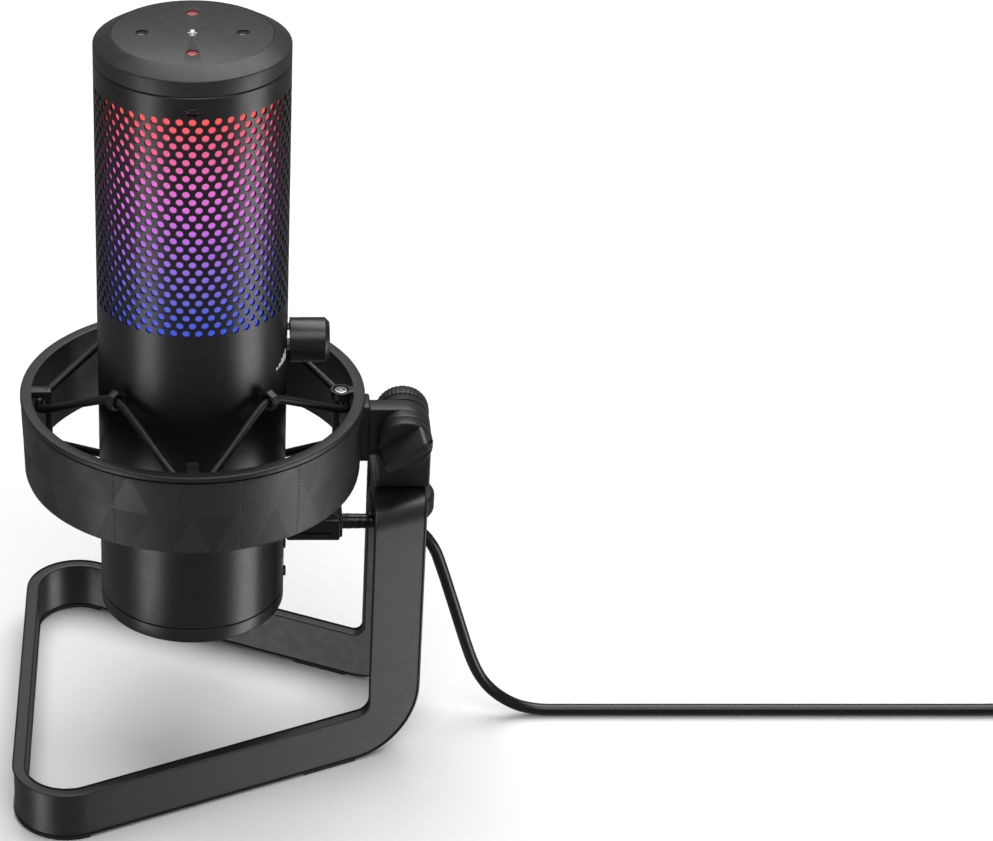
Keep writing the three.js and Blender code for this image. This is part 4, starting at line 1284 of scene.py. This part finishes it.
# ---------------------------------------------------------------- swivel
@dataclass
class Swivel:
    """The fork on the bridge, with the nut behind it and the winged clamp knob in front."""

    pieces: Pieces
    x: float = PIVOT_X
    z: float = PIVOT_Z
    eye: float = EYE_RADIUS
    half: float = 6.7
    bottom: float = 86.9

    def fork(self) -> None:
        """The fork: a tombstone outline pushed across, slotted for the arm and drilled for the screw."""
        arc = np.linspace(0, math.pi, 33)
        head = np.stack([self.x + self.eye * np.cos(arc), self.z + self.eye * np.sin(arc)], -1)
        outline = np.concatenate([[[self.x - self.eye, self.bottom], [self.x + self.eye, self.bottom]], head])
        swapped = outline[:, ::-1]
        piece = self.pieces.mesh("fork_moulded", slab(swapped, -self.half, self.half, 0.6, 4).placed(ALONG_Y))
        tab = block((53.8, -7.05, self.bottom), (55.6, -5.7, 88.65), 0.25)
        self.pieces.combined(piece, [tab], "UNION")
        slot = block((50, -3.3, 92.5), (75, 3.3, 116), 0.2)
        bore = disc(TILT_BORE, -12, 12, 0.1, 32).placed(ALONG_Y, (self.x, 0, self.z))
        well = disc(STUD_BORE, 84, 93.5, 0.1, 32).placed(ALONG_Z, (self.x, 0, 0))
        self.pieces.combined(piece, [slot, bore, well], "DIFFERENCE")
        self.pieces.tied(piece, "swivel", MOULDED, ("swivel_fork",))

    def nut(self) -> None:
        """The knurled nut: a ring whose radius dips by a fortieth, forty times round."""
        corners = [(TILT_BORE, 7.0, 0.2), (8.0, 7.0, 0.5), (8.0, 11.5, 0.7), (TILT_BORE, 11.5, 0.2)]
        form = lathe(eased(corners, 4), 160, lambda turn: 1 - 0.025 * np.cos(turn * 20) ** 2)
        piece = self.pieces.mesh("clamp_nut_knurled", form.placed(ALONG_Y, (self.x, 0, self.z)), 40)
        self.pieces.tied(piece, "swivel", MOULDED, ("clamp_nut",))

    def knob(self) -> None:
        """The clamp knob: a disc with a tapered grip across it, turned from lower left to upper right."""
        face = disc(7.9, -11.0, -7.0, 0.7, 96).placed(ALONG_Y, (self.x, 0, self.z))
        outline = eased([(-3.3, -10.0, 0.2), (-3.3, -11.0, 0.4), (-1.35, -18.0, 0.8), (1.35, -18.0, 0.8),
                         (3.3, -11.0, 0.4), (3.3, -10.0, 0.2)], 5)
        wing = slab(outline, -7.6, 7.6, 1.3, 5)
        turn = math.radians(34)
        lengthwise = np.array([math.cos(turn), 0, math.sin(turn)])
        across = np.array([-math.sin(turn), 0, math.cos(turn)])
        axes = np.stack([across, np.array([0.0, 1.0, 0.0]), lengthwise])
        grip = wing.placed(axes, (self.x, 0, self.z)).outward()
        piece = self.pieces.mesh("clamp_knob_winged", face)
        self.pieces.combined(piece, [grip], "UNION")
        bore = disc(TILT_BORE, -9.5, -5, 0.1, 32).placed(ALONG_Y, (self.x, 0, self.z))
        self.pieces.combined(piece, [bore], "DIFFERENCE")
        self.pieces.tied(piece, "clamp", MOULDED, ("clamp_knob",))

    def build(self) -> None:
        """Builds the fork, the nut and the knob."""
        self.fork()
        self.nut()
        self.knob()
        self.pieces.kept("clamp_screw", STEEL)


# ---------------------------------------------------------------- ring
@dataclass
class Ring:
    """The ring with its posts and arm, its patterned band, and the two loops of elastic."""

    pieces: Pieces
    inner: float = 46.9
    wall: float = 48.6
    rim: float = 50.4
    low: float = 91.2
    high: float = 116.5
    band_top: float = 114.6
    band_height: float = 23.4
    band_inner: float = 48.9
    band_foot: float = 49.6
    band_middle: float = 50.0
    pressed_depth: float = 0.42
    screw_x: float = 43.4
    track: float = 45.0
    facets: int = FACETS
    seed: int = 11

    def frame_form(self) -> tuple[Form, list[Form]]:
        """The ring's wall with its rim, and everything that is joined to it.

        Returns:
            The wall, and the posts, arm, flange and bosses.
        """
        rim_low = self.high - 1.6
        corners = [(self.inner, self.low, 0.3), (self.wall, self.low, 0.2), (self.wall, rim_low, 0),
                   (self.rim, rim_low, 0.25), (self.rim, self.high, 0.45), (self.inner, self.high, 0.45)]
        wall = lathe(eased(corners, 5), 256)
        post = [block((-1.8, -43.0, self.low), (1.8, -41.2, self.high), 0.35)]
        webs = ((self.low, self.low + 2.2), (102.2, 105.2), (self.high - 2.2, self.high))
        post += [block((-1.8, -self.inner - 0.8, bottom), (1.8, -42.6, top), 0.3) for bottom, top in webs]
        posts = [form.turned(azimuth) for azimuth in (0, 90, 180, 270) for form in post]
        arc = np.linspace(-math.pi / 2, math.pi / 2, 25)
        tip = np.stack([PIVOT_X + EYE_RADIUS * np.cos(arc), PIVOT_Z + EYE_RADIUS * np.sin(arc)], -1)
        outline = np.concatenate([tip, [[47.7, 111.3], [47.7, 95.7]]])
        arm = slab(outline[:, ::-1], -3.0, 3.0, 0.45).placed(ALONG_Y)
        flange = block((47.8, -4.2, 94.2), (52.0, 4.2, 112.8), 0.6)
        bosses = [disc(3.2, bottom, bottom + 2.6, 0.3, 48).placed(ALONG_Z, (self.screw_x, 0, 0))
                  for bottom in (self.low, self.high - 2.6)]
        return wall, [*posts, arm, flange, *bosses]

    def frame(self) -> None:
        """The ring frame, joined up and then drilled for the two screws and the tilt screw."""
        wall, rest = self.frame_form()
        piece = self.pieces.mesh("ring_frame_moulded", wall)
        self.pieces.combined(piece, rest, "UNION")
        drills = [disc(TILT_BORE, -12, 12, 0.1, 32).placed(ALONG_Y, (PIVOT_X, 0, PIVOT_Z))]
        for face, way in ((self.high, -1), (self.low, 1)):
            ends = sorted((face - way, face + way * 1.4))
            deep = sorted((face - way, face + way * 3.7))
            drills += [disc(2.3, *ends, 0.1, 32).placed(ALONG_Z, (self.screw_x, 0, 0)),
                       disc(1.3, *deep, 0.1, 24).placed(ALONG_Z, (self.screw_x, 0, 0))]
        self.pieces.combined(piece, drills, "DIFFERENCE")
        self.pieces.tied(piece, "head", MOULDED, ("ring_frame",))

    def screws(self) -> None:
        """The two arm screws, each a domed head with a cross cut into it."""
        for name, face, way in (("upper", self.high, -1), ("lower", self.low, 1)):
            start = face + way * 0.1
            middle = (self.screw_x, 0, 0)
            head = disc(2.0, *sorted((start, start + way)), 0.35, 40).placed(ALONG_Z, middle)
            piece = self.pieces.mesh(f"arm_screw_{name}_head", head)
            run = sorted((start + way * 0.5, start + way * 2.4))
            shank = disc(1.0, *run, 0.1, 24).placed(ALONG_Z, middle)
            self.pieces.combined(piece, [shank], "UNION")
            ends = sorted((start - way, start + way * 0.6))
            cross = [block((self.screw_x - a, -b, ends[0]), (self.screw_x + a, b, ends[1]), 0.08)
                     for a, b in ((1.3, 0.28), (0.28, 1.3))]
            self.pieces.combined(piece, cross, "DIFFERENCE")
            self.pieces.tied(piece, "head", STEEL, (f"arm_screw_{name}",))

    def facet_height(self, turn: Array, height: Array) -> Array:
        """How deep the pressed facets lie at each place.

        The band is laid out in two rows of triangles. Each corner of them has its own depth, drawn once
        from a fixed seed, and between the corners the depth is flat across a triangle, so each one catches
        the light differently.

        Args:
            turn: share of the way round, 0 to 1.
            height: share of the band's height, 0 to 1.

        Returns:
            The depth, 0 to 1.
        """
        rows = 3
        depth = np.random.default_rng(self.seed).random((rows, self.facets))
        up = np.clip(height * (rows - 1), 0, rows - 1 - CLOSE)
        row = up.astype(int)
        even = row % 2 == 0
        over = up - row
        shift = np.where(even, over / 2, 0.5 - over / 2)
        along = turn * self.facets - shift
        column = np.floor(along).astype(int)
        beside = along - column
        here = depth[row, column % self.facets]
        following = depth[row, (column + 1) % self.facets]
        above = depth[row + 1, np.where(even, column, column + 1) % self.facets]
        above_next = depth[row + 1, np.where(even, column + 1, column + 2) % self.facets]
        is_lower = beside <= 1 - over
        base = here * (1 - over - beside) + following * beside + above * over
        top = above * (1 - beside) + above_next * (over + beside - 1) + following * (1 - over)
        return np.clip(np.where(is_lower, base, top), 0, 1)

    def band(self) -> None:
        """The patterned band: a ring that leans out to its top, its outer face pressed into flat facets."""
        sides, rows = 832, 30
        ease = 0.3
        turn = np.linspace(0, 1, sides, endpoint=False)
        share = np.linspace(0, 1, rows)
        at_turn, at_share = np.meshgrid(turn, share)
        leaning = self.band_foot + (self.rim - 0.1 - self.band_foot) * at_share
        pressed_in = self.pressed_depth * self.facet_height(at_turn, at_share)
        edge = np.clip(np.minimum(at_share, 1 - at_share) * self.band_height / ease, 0, 1)
        outer = leaning - pressed_in * edge - ease * (1 - np.sqrt(1 - (1 - edge) ** 2))
        bottom, top = self.low, self.band_top - 0.3
        z_outer = bottom + (top - bottom) * at_share
        inside = np.full((1, sides), self.band_inner)
        reach = np.concatenate([inside, outer, inside])
        height = np.concatenate([np.full((1, sides), bottom), z_outer, np.full((1, sides), top)])
        angle = turn * FULL_TURN
        points = np.stack([reach * np.cos(angle), reach * np.sin(angle), height], -1).reshape(-1, 3)
        faces, uv = grid_faces(rows + 2, sides, True, True)
        piece = self.pieces.mesh("ring_band_pressed", Form(points, [faces], uv).outward(), 60)
        notch = block((40, -4.5, 93.9), (60, 4.5, 113.1), 0.3)
        self.pieces.combined(piece, [notch], "DIFFERENCE", 60)
        material = pressed(BAND_SKIN, FULL_TURN * self.band_middle, self.band_height)
        self.pieces.tied(piece, "head", BAND_SKIN, ("ring_band",), material)

    def elastic(self, name: str, post: float, clip: float) -> None:
        """One loop of elastic, out to each post and back to each eyelet, four times.

        Args:
            name: upper or lower.
            post: its height at the posts.
            clip: its height at the eyelets.
        """
        track, near_mic = self.track, CLIP_REACH
        way = math.copysign(1, clip - post)
        near_post = post + (clip - post) * 0.04

        def beside(radius: float, sideways: float, azimuth: float,
                   height: float) -> tuple[float, float, float]:
            """A point beside a radius.

            Args:
                radius: how far out it is.
                sideways: how far it is moved along the ring.
                azimuth: degrees from the front towards +X.
                height: its height.

            Returns:
                The point.
            """
            turn = math.radians(azimuth)
            return (radius * math.sin(turn) + sideways * math.cos(turn),
                    -radius * math.cos(turn) + sideways * math.sin(turn), height)

        points = [beside(track, 0.2, 270, post)]
        for azimuth in (270, 0, 90, 180):
            points += [
                beside(track, 1.6, azimuth, post), beside(track - 0.8, 3.6, azimuth, near_post),
                beside(near_mic, 0, azimuth + 40, clip - way * 0.75), beside(near_mic, 0, azimuth + 45, clip),
                beside(near_mic, 0, azimuth + 50, clip - way * 0.75),
                beside(track - 0.8, -3.6, azimuth + 90, near_post), beside(track, -1.6, azimuth + 90, post),
            ]
        points.append(beside(track, -0.2, 270, post))
        path = smooth_path(points, 0.7)
        piece = self.pieces.mesh(f"elastic_{name}_braid", tube(path, 1.25, 14))
        self.pieces.stretched(piece, ("head", "microphone"), (0, 0, post), (0, 0, clip), ELASTIC,
                              (f"elastic_{name}",), woven(ELASTIC, 170, 4))

    def build(self) -> None:
        """Builds the ring, its screws, its band and its elastic."""
        self.frame()
        self.screws()
        self.band()
        self.elastic("upper", 111.2, UPPER_CLIP_Z)
        self.elastic("lower", 97.2, LOWER_CLIP_Z)


# ---------------------------------------------------------------- microphone
@dataclass
class Opening:
    """A hole through the body's wall, and the block of the plain grid that it takes the place of.

    Fields:
        column: the grid column at its middle.
        reach: half its block's width, in columns.
        low: its block's bottom.
        high: its block's top.
        height: the hole's own middle.
        half: half the hole's width.
        half_tall: half its height.
        square: 2 for an ellipse, and more for a squarer hole.
    """

    column: int
    reach: int
    low: float
    high: float
    height: float
    half: float
    half_tall: float
    square: float = 2.0


@dataclass
class Microphone:
    """The microphone: pierced body, caps, touch plate, lenses, diffuser, eyelets, knob, button, sockets."""

    pieces: Pieces
    radius: float = 27.5
    wall: float = 1.5
    bottom: float = 50.3
    top: float = 221.5
    first_row: float = 214.2
    row_gap: float = 2.3925
    rows: int = 28
    holes: int = 48
    hole: float = 1.08
    chamfer: float = 0.25
    thinned: float = 0.75
    button_z: float = 53.4
    jack_z: float = 64.2
    gain_z: float = 133.0
    crown: float = 228.9
    plate_radius: float = 22.5
    glow_low: float = 146.0
    glow_high: float = 215.4
    glow_radius: float = 25.7

    @property
    def columns(self) -> int:
        """Steps round the body: four to each hole."""
        return self.holes * 4

    def cell(self, half_columns: float, half_height: float, across: int, upward: int,
             outline: Callable[[Array], Array]) -> tuple[Array, Array]:
        """A four-sided cell's border and the hole in it, point for point.

        The border goes round anticlockwise from its lower left corner in equal steps along each side. Each
        of its points faces the point of the hole at the same bearing.

        Args:
            half_columns: half the cell's width, in columns.
            half_height: half its height, in millimetres.
            across: steps along its bottom and top.
            upward: steps along its sides.
            outline: gives the hole's (column, height) at each bearing.

        Returns:
            The border and the hole, both as (column, height) from the cell's middle.
        """
        bottom = np.stack([np.linspace(-1, 1, across, endpoint=False), np.full(across, -1.0)], -1)
        right = np.stack([np.full(upward, 1.0), np.linspace(-1, 1, upward, endpoint=False)], -1)
        unit = np.concatenate([bottom, right, -bottom, -right])
        bearing = np.arctan2(unit[:, 1], unit[:, 0])
        return unit * np.array([half_columns, half_height]), outline(bearing)

    def pierced(self) -> Form:
        """The body's wall as one closed form.

        It is laid out flat as columns round and heights up. The grille is covered by cells, four columns
        wide and one row tall, shifted by half a cell on every second row, each with a round hole. Other
        heights are a plain grid, in which each opening takes the place of a block of it. The flat layout is
        then rolled up twice, at the outer and the inner radius, and the two are joined along every hole and
        at both ends. Behind the grille the wall is thinned from inside, so that the light shows through its
        holes from the sides too.

        Returns:
            The closed form.
        """
        column_width = FULL_TURN * self.radius / self.columns
        half_row = self.row_gap / 2
        grille_top = self.first_row + half_row
        grille_low = self.first_row - (self.rows - 0.5) * self.row_gap
        side = self.columns // 4
        openings = [
            Opening(side, reach=3, low=51.2, high=55.6, height=self.button_z, half=1.9, half_tall=1.9),
            Opening(side, reach=4, low=61.0, high=67.4, height=self.jack_z, half=2.7, half_tall=2.7),
            Opening(side, reach=7, low=68.2, high=73.8, height=USB_Z, half=5.0, half_tall=2.3, square=5.0),
            Opening(side, reach=5, low=128.8, high=137.2, height=self.gain_z, half=3.6, half_tall=3.6),
            Opening(0, reach=3, low=215.9, high=218.9, height=217.4, half=1.8, half_tall=1.2, square=3.5),
        ]
        flat: list[Array] = []
        faces: list[Array] = []
        holes: list[Array] = []
        count = 0

        def add_cells(middles: Array, border: Array, hole: Array) -> None:
            """Adds cells: the faces between each one's border and its hole.

            Args:
                middles: where the cells are, as (column, height).
                border: a cell's border, from its middle.
                hole: the hole in it, point for point.
            """
            nonlocal count
            size = len(border)
            both = np.concatenate([border, hole])
            flat.append((middles[:, None] + both[None]).reshape(-1, 2))
            start = count + np.arange(len(middles))[:, None] * 2 * size
            here = np.arange(size)[None] + start
            following = (np.arange(size)[None] + 1) % size + start
            faces.append(np.stack([here, following, following + size, here + size], -1).reshape(-1, 4))
            holes.append(np.stack([here + size, following + size], -1).reshape(-1, 2))
            count += len(middles) * 2 * size

        row = np.repeat(np.arange(self.rows), self.holes)
        place = np.tile(np.arange(self.holes), self.rows) * 4 + (row % 2) * 2
        middles = np.stack([place, self.first_row - row * self.row_gap], -1).astype(float)

        def circle(bearing: Array) -> Array:
            """The grille's round hole, laid out flat."""
            return np.stack([self.hole * np.cos(bearing) / column_width, self.hole * np.sin(bearing)], -1)

        add_cells(middles, *self.cell(2, half_row, 4, 4, circle))

        def plain(stations: list[float], most: float) -> None:
            """Fills the heights between stations with a plain grid, leaving out the openings' blocks.

            Args:
                stations: heights where the grid has a line.
                most: how far apart its other lines may be.
            """
            nonlocal count
            for low, high in zip(stations[:-1], stations[1:]):
                here = [o for o in openings if abs(o.low - low) < CLOSE and abs(o.high - high) < CLOSE]
                steps = max(1, math.ceil((high - low) / (1.0 if here else most)))
                lines = np.linspace(low, high, steps + 1)
                column, line = np.meshgrid(np.arange(self.columns), np.arange(steps + 1))
                flat.append(np.stack([column.ravel(), lines[line.ravel()]], -1).astype(float))
                quads, _ = grid_faces(steps + 1, self.columns, False, True)
                cell_column = np.tile(np.arange(self.columns), steps)
                keep = np.ones(len(quads), bool)
                for opening in here:
                    opposite = self.columns // 2
                    away = (cell_column - opening.column + opposite) % self.columns - opposite
                    keep &= ~((away >= -opening.reach) & (away < opening.reach))
                faces.append(quads[keep] + count)
                count += self.columns * (steps + 1)
                for opening in here:
                    power = 2 / opening.square

                    def outline(bearing: Array, o: Opening = opening, p: float = power) -> Array:
                        """A squared circle: the cosine and the sine, each to a power, with its sign kept.

                        Args:
                            bearing: the angle of each point.
                            o: the opening.
                            p: the power.

                        Returns:
                            The outline, as (column, height) from the cell's middle.
                        """
                        c, s = np.cos(bearing), np.sin(bearing)
                        x = np.sign(c) * np.abs(c) ** p * o.half / column_width
                        y = np.sign(s) * np.abs(s) ** p * o.half_tall + o.height - (o.low + o.high) / 2
                        return np.stack([x, y], -1)

                    middle = np.array([[opening.column, (opening.low + opening.high) / 2]])
                    half, across = (high - low) / 2, opening.reach * 2
                    add_cells(middle, *self.cell(opening.reach, half, across, steps, outline))

        below = [level for o in openings if o.high < grille_low for level in (o.low, o.high)]
        over = [level for o in openings if o.low > grille_top for level in (o.low, o.high)]
        coarse, fine = 5.0, 1.4
        plain([self.bottom, self.bottom + self.chamfer, *below, grille_low], coarse)
        plain([grille_top, *over, self.top - self.chamfer, self.top], fine)

        places = np.concatenate(flat)
        column_keys = np.round(places[:, 0] * 1e3) % (self.columns * 1000)
        keys = np.stack([column_keys, np.round(places[:, 1] * 1e3 + 0.3)], -1)
        merged, first, inverse = np.unique(keys, axis=0, return_index=True, return_inverse=True)
        inverse = inverse.ravel()
        places = places[first]
        turn = places[:, 0] / self.columns * FULL_TURN
        height = places[:, 1]
        edge = np.minimum(height - self.bottom, self.top - height)
        outer = self.radius - self.chamfer * np.clip(1 - edge / self.chamfer, 0, 1)
        above = np.clip(np.minimum(height - grille_low, grille_top - height) + 1, 0, 1)
        inner = self.radius - self.wall + self.thinned * above
        rolled = [np.stack([r * np.sin(turn), -r * np.cos(turn), height], -1) for r in (outer, inner)]
        total = len(merged)
        front = inverse[np.concatenate(faces)]
        rims = inverse[np.concatenate(holes)]
        jamb = np.stack([rims[:, 1], rims[:, 0], rims[:, 0] + total, rims[:, 1] + total], -1)
        ends = []
        for level, way in ((self.bottom, 1), (self.top, -1)):
            ring = np.flatnonzero(np.abs(height - level) < CLOSE)
            ring = ring[np.argsort(turn[ring] % FULL_TURN)][::way]
            ends.append(np.stack([np.roll(ring, -1), ring, ring + total, np.roll(ring, -1) + total], -1))
        return Form(np.concatenate(rolled), [front, front[:, ::-1] + total, jamb, *ends]).outward()

    def body(self) -> None:
        """The pierced body tube."""
        piece = self.pieces.mesh("body_tube_pierced", self.pierced(), 34)
        self.pieces.tied(piece, "microphone", MIC_SATIN, ("body_tube",))

    def caps(self) -> None:
        """The base cap with its screw wells, the chamfered top cap, and the touch plate with its lenses."""
        inside = self.radius - self.wall
        foot, seam, skirt, floor = 45.3, 50.1, 51.3, 47.3
        base = [(0, foot, 0), (self.radius, foot, 0.9), (self.radius, seam, 0.25), (inside - 0.3, seam, 0),
                (inside - 0.3, skirt, 0), (inside - 1.8, skirt, 0), (inside - 1.8, floor, 0), (0, floor, 0)]
        piece = self.pieces.mesh("base_cap_turned", lathe(eased(base, 6, is_loop=False), 192))
        wells = [disc(r, 44.0, high, 0.05, 40).placed(ALONG_Z, (side * 15, 0, 0))
                 for side in (-1, 1) for r, high in ((2.3, 46.4), (1.3, 49.3))]
        self.pieces.combined(piece, wells, "DIFFERENCE")
        self.pieces.tied(piece, "microphone", MIC_SATIN, ("base_cap",))
        for side in ("left", "right"):
            self.pieces.kept("base_screw_" + side, STEEL)

        seam, shoulder, skirt, ledge, ceiling, recess = 221.7, 226.2, 219.2, 226.6, 225.6, 22.62
        top = [(self.radius, seam, 0.25), (self.radius, shoulder, 0.5), (22.8, self.crown, 0.35),
               (recess, self.crown, 0), (recess, ledge, 0), (19.5, ledge, 0), (19.5, ceiling, 0),
               (inside - 1.6, ceiling, 0), (inside - 1.6, skirt, 0), (inside - 0.3, skirt, 0),
               (inside - 0.3, seam, 0)]
        piece = self.pieces.mesh("top_cap_turned", lathe(eased(top, 6), 192))
        self.pieces.tied(piece, "microphone", CAP_SATIN, ("top_cap",))

        under, reach = 226.9, self.plate_radius
        plate = [(0, under, 0), (reach, under, 0.1), (reach, self.crown, 0.15), (0, self.crown, 0)]
        piece = self.pieces.mesh("touch_plate_turned", lathe(eased(plate, 3, is_loop=False), 192))
        out = 13.9
        places = [(0, -out), (out, 0), (0, out), (-out, 0)]
        wells = [disc(1.75, 220, 235, 0.05, 40).placed(ALONG_Z, (x, y, 0)) for x, y in places]
        self.pieces.combined(piece, wells, "DIFFERENCE")
        self.pieces.tied(piece, "microphone", CAP_SATIN, ("touch_plate",))
        lit = lit_lens()
        for (x, y), side in zip(places, ("front", "right", "rear", "left")):
            dome = [(0, 226.0, 0), (1.6, 226.0, 0), (1.6, 228.7, 0.15), (0, 228.85, 0)]
            form = lathe(eased(dome, 4, is_loop=False), 40).placed(ALONG_Z, (x, y, 0))
            piece = self.pieces.mesh(f"lens_{side}_domed", form)
            is_lit = side in ("front", "rear")
            finish = LENS_LIT if is_lit else LENS_DARK
            self.pieces.tied(piece, "microphone", finish, (f"pattern_lens_{side}",), lit if is_lit else None)

    def marks(self) -> None:
        """Generic marks: a small microphone sign on the plate, and rising bars below the gain knob."""
        bow = np.linspace(math.pi * 0.98, math.pi * 2.02, 17)
        outer_bow, inner_bow = 1.25, 0.95
        arc = np.concatenate([np.stack([outer_bow * np.cos(bow), outer_bow * np.sin(bow)], -1),
                              np.stack([inner_bow * np.cos(bow[::-1]), inner_bow * np.sin(bow[::-1])], -1)])
        low, high = 228.85, 228.93
        pill = rectangle((-0.6, -0.5), (0.6, 1.9), 0.58, 6)
        stem = rectangle((-0.16, -2.1), (0.16, -1.2), 0.05, 2)
        foot = rectangle((-0.8, -2.35), (0.8, -2.05), 0.05, 2)
        forms = [slab(outline, low, high, 0.01, 1) for outline in (pill, arc, stem, foot)]
        piece = self.pieces.mesh("touch_sign", together(forms))
        self.pieces.tied(piece, "microphone", MARK_WHITE)

        bars = [self.wrapped(62 + 3.6 * k, 130.2, 0.62, 0.7 + 0.62 * k) for k in range(5)]
        bars += [self.wrapped(79, 60.4, 0.9, 0.5), self.wrapped(79, 58.6, 0.9, 0.5)]
        piece = self.pieces.mesh("side_marks", together(bars))
        self.pieces.tied(piece, "microphone", MARK_WHITE)

    def wrapped(self, azimuth: float, height: float, half: float, tall: float) -> Form:
        """A thin printed bar on the body's side, bent to its roundness.

        Args:
            azimuth: degrees from the front towards +X.
            height: its lower edge.
            half: half its width.
            tall: its height.

        Returns:
            The closed form, whose face stands 0.05 mm proud of the wall.
        """
        flat = block((-half, height, 0), (half, height + tall, 0.09), 0.01)
        turn = math.radians(azimuth) + flat.points[:, 0] / self.radius
        reach = self.radius - 0.04 + flat.points[:, 2]
        rolled = np.stack([reach * np.sin(turn), -reach * np.cos(turn), flat.points[:, 1]], -1)
        return Form(rolled, flat.faces).outward()

    def eyelets(self) -> None:
        """Eight eyelets: an eight-sided ring with a round hole on a foot at the body's wall."""
        turn = np.linspace(0, FULL_TURN, 64, endpoint=False)
        flat_side = 3.1 * math.cos(math.pi / 8)
        octagon = flat_side / np.cos((turn % (math.pi / 4)) - math.pi / 8)
        section = eased([(-1.2, 0, 0.3), (1.2, 0, 0.3), (1.2, 1, 0.0), (-1.2, 1, 0.0)], 3)
        share = np.clip(section[:, 1], 0, 1)[:, None]
        reach = octagon[None] * (1 - share) + 2.1 * share
        across = np.repeat(section[:, :1], len(turn), axis=1)
        points = np.stack([across, reach * np.cos(turn), reach * np.sin(turn)], -1).reshape(-1, 3)
        faces, uv = grid_faces(len(section), len(turn), True, True)
        corners = (("front_right", 45), ("rear_right", 135), ("rear_left", 225), ("front_left", 315))
        for level, height in (("upper", UPPER_CLIP_Z), ("lower", LOWER_CLIP_Z)):
            eye = Form(points + np.array([0, -CLIP_REACH, height]), [faces], uv).outward()
            foot = block((-1.2, -29.1, height - 1.6), (1.2, -self.radius - 0.02, height + 1.6), 0.25)
            for place, azimuth in corners:
                piece = self.pieces.mesh(f"eyelet_{level}_{place}", eye.turned(azimuth), 30)
                self.pieces.combined(piece, [foot.turned(azimuth)], "UNION")
                self.pieces.tied(piece, "microphone", MOULDED, (f"clip_{level}_{place}",))

    def controls(self) -> None:
        """The gain knob, the headphone jack's collar, the light button and the mute window."""
        knob = [(0, 28.1, 0), (6.5, 28.1, 0.25), (6.5, 38.3, 0.2), (5.2, 39.6, 0.3), (0, 39.6, 0)]
        form = lathe(eased(knob, 5, is_loop=False), 128)
        piece = self.pieces.mesh("gain_knob_turned", form.placed(ALONG_X, (0, 0, self.gain_z)))
        line = block((29.0, -0.22, 126.3), (37.5, 0.22, 127.1), 0.08)
        self.pieces.combined(piece, [line], "DIFFERENCE")
        self.pieces.tied(piece, "gain", MIC_SATIN, ("gain_knob",))
        self.pieces.kept("gain_shaft", STEEL)

        collar = eased([(1.8, 15.5, 0), (2.4, 15.5, 0), (2.4, 28.0, 0.2), (1.8, 28.0, 0.15)], 3)
        back = disc(2.4, 14.0, 15.6, 0.05, 48)
        piece = self.pieces.mesh("jack_collar", lathe(collar, 48).placed(ALONG_X, (0, 0, self.jack_z)))
        self.pieces.combined(piece, [back.placed(ALONG_X, (0, 0, self.jack_z))], "UNION")
        self.pieces.tied(piece, "microphone", DARK_STEEL, ("jack_socket",))
        button = disc(1.6, 24.0, 28.2, 0.35, 48).placed(ALONG_X, (0, 0, self.button_z))
        piece = self.pieces.mesh("light_button_domed", button)
        self.pieces.tied(piece, "button", LENS_DARK, ("light_button",))
        window = rectangle((-1.5, 216.5), (1.5, 218.3), 0.7, 5)
        facing = np.array([[1.0, 0, 0], [0, 0, 1.0], [0, -1.0, 0]])
        piece = self.pieces.mesh("mute_window_lens", slab(window, 26.2, 27.35, 0.35).placed(facing))
        self.pieces.tied(piece, "microphone", LENS_DARK, ("mute_window",))

    def inside(self) -> None:
        """The lit diffuser, and the inner parts, which keep their CAD shapes."""
        profile = rectangle((24.3, self.glow_low), (self.glow_radius, self.glow_high), 0.2, 3)
        piece = self.pieces.mesh("diffuser_lit", lathe(profile, 128))
        glow = Glow(self.glow_low * MM, self.glow_high * MM, self.glow_radius * MM)
        self.pieces.tied(piece, "microphone", DIFFUSER_WHITE, ("diffuser_tube",), glow.material())
        for node in ("touch_board", "light_board_front", "light_board_rear", "main_board"):
            self.pieces.kept(node, BOARD)
        for node in ("usb_socket", "gain_pot"):
            self.pieces.kept(node, STEEL)
        for node in ("chassis", "button_switch"):
            self.pieces.kept(node, MOULDED)
        self.pieces.kept("capsule", BRASS)
        self.pieces.kept("capsule_cradle", FOOT_RUBBER)

    def build(self) -> None:
        """Builds the microphone from the outside in."""
        self.body()
        self.caps()
        self.marks()
        self.eyelets()
        self.controls()
        self.inside()


def main() -> None:
    """Builds the studio, the cable and then each sub-assembly."""
    logging.basicConfig(level=logging.INFO, format="%(name)s %(message)s")
    pieces = Pieces()
    for assembly in (Studio, Cable, Stand, Swivel, Ring, Microphone):
        log.info("building %s", assembly.__name__)
        assembly(pieces).build()
    bpy.context.view_layer.update()


if __name__ == "__main__":
    main()
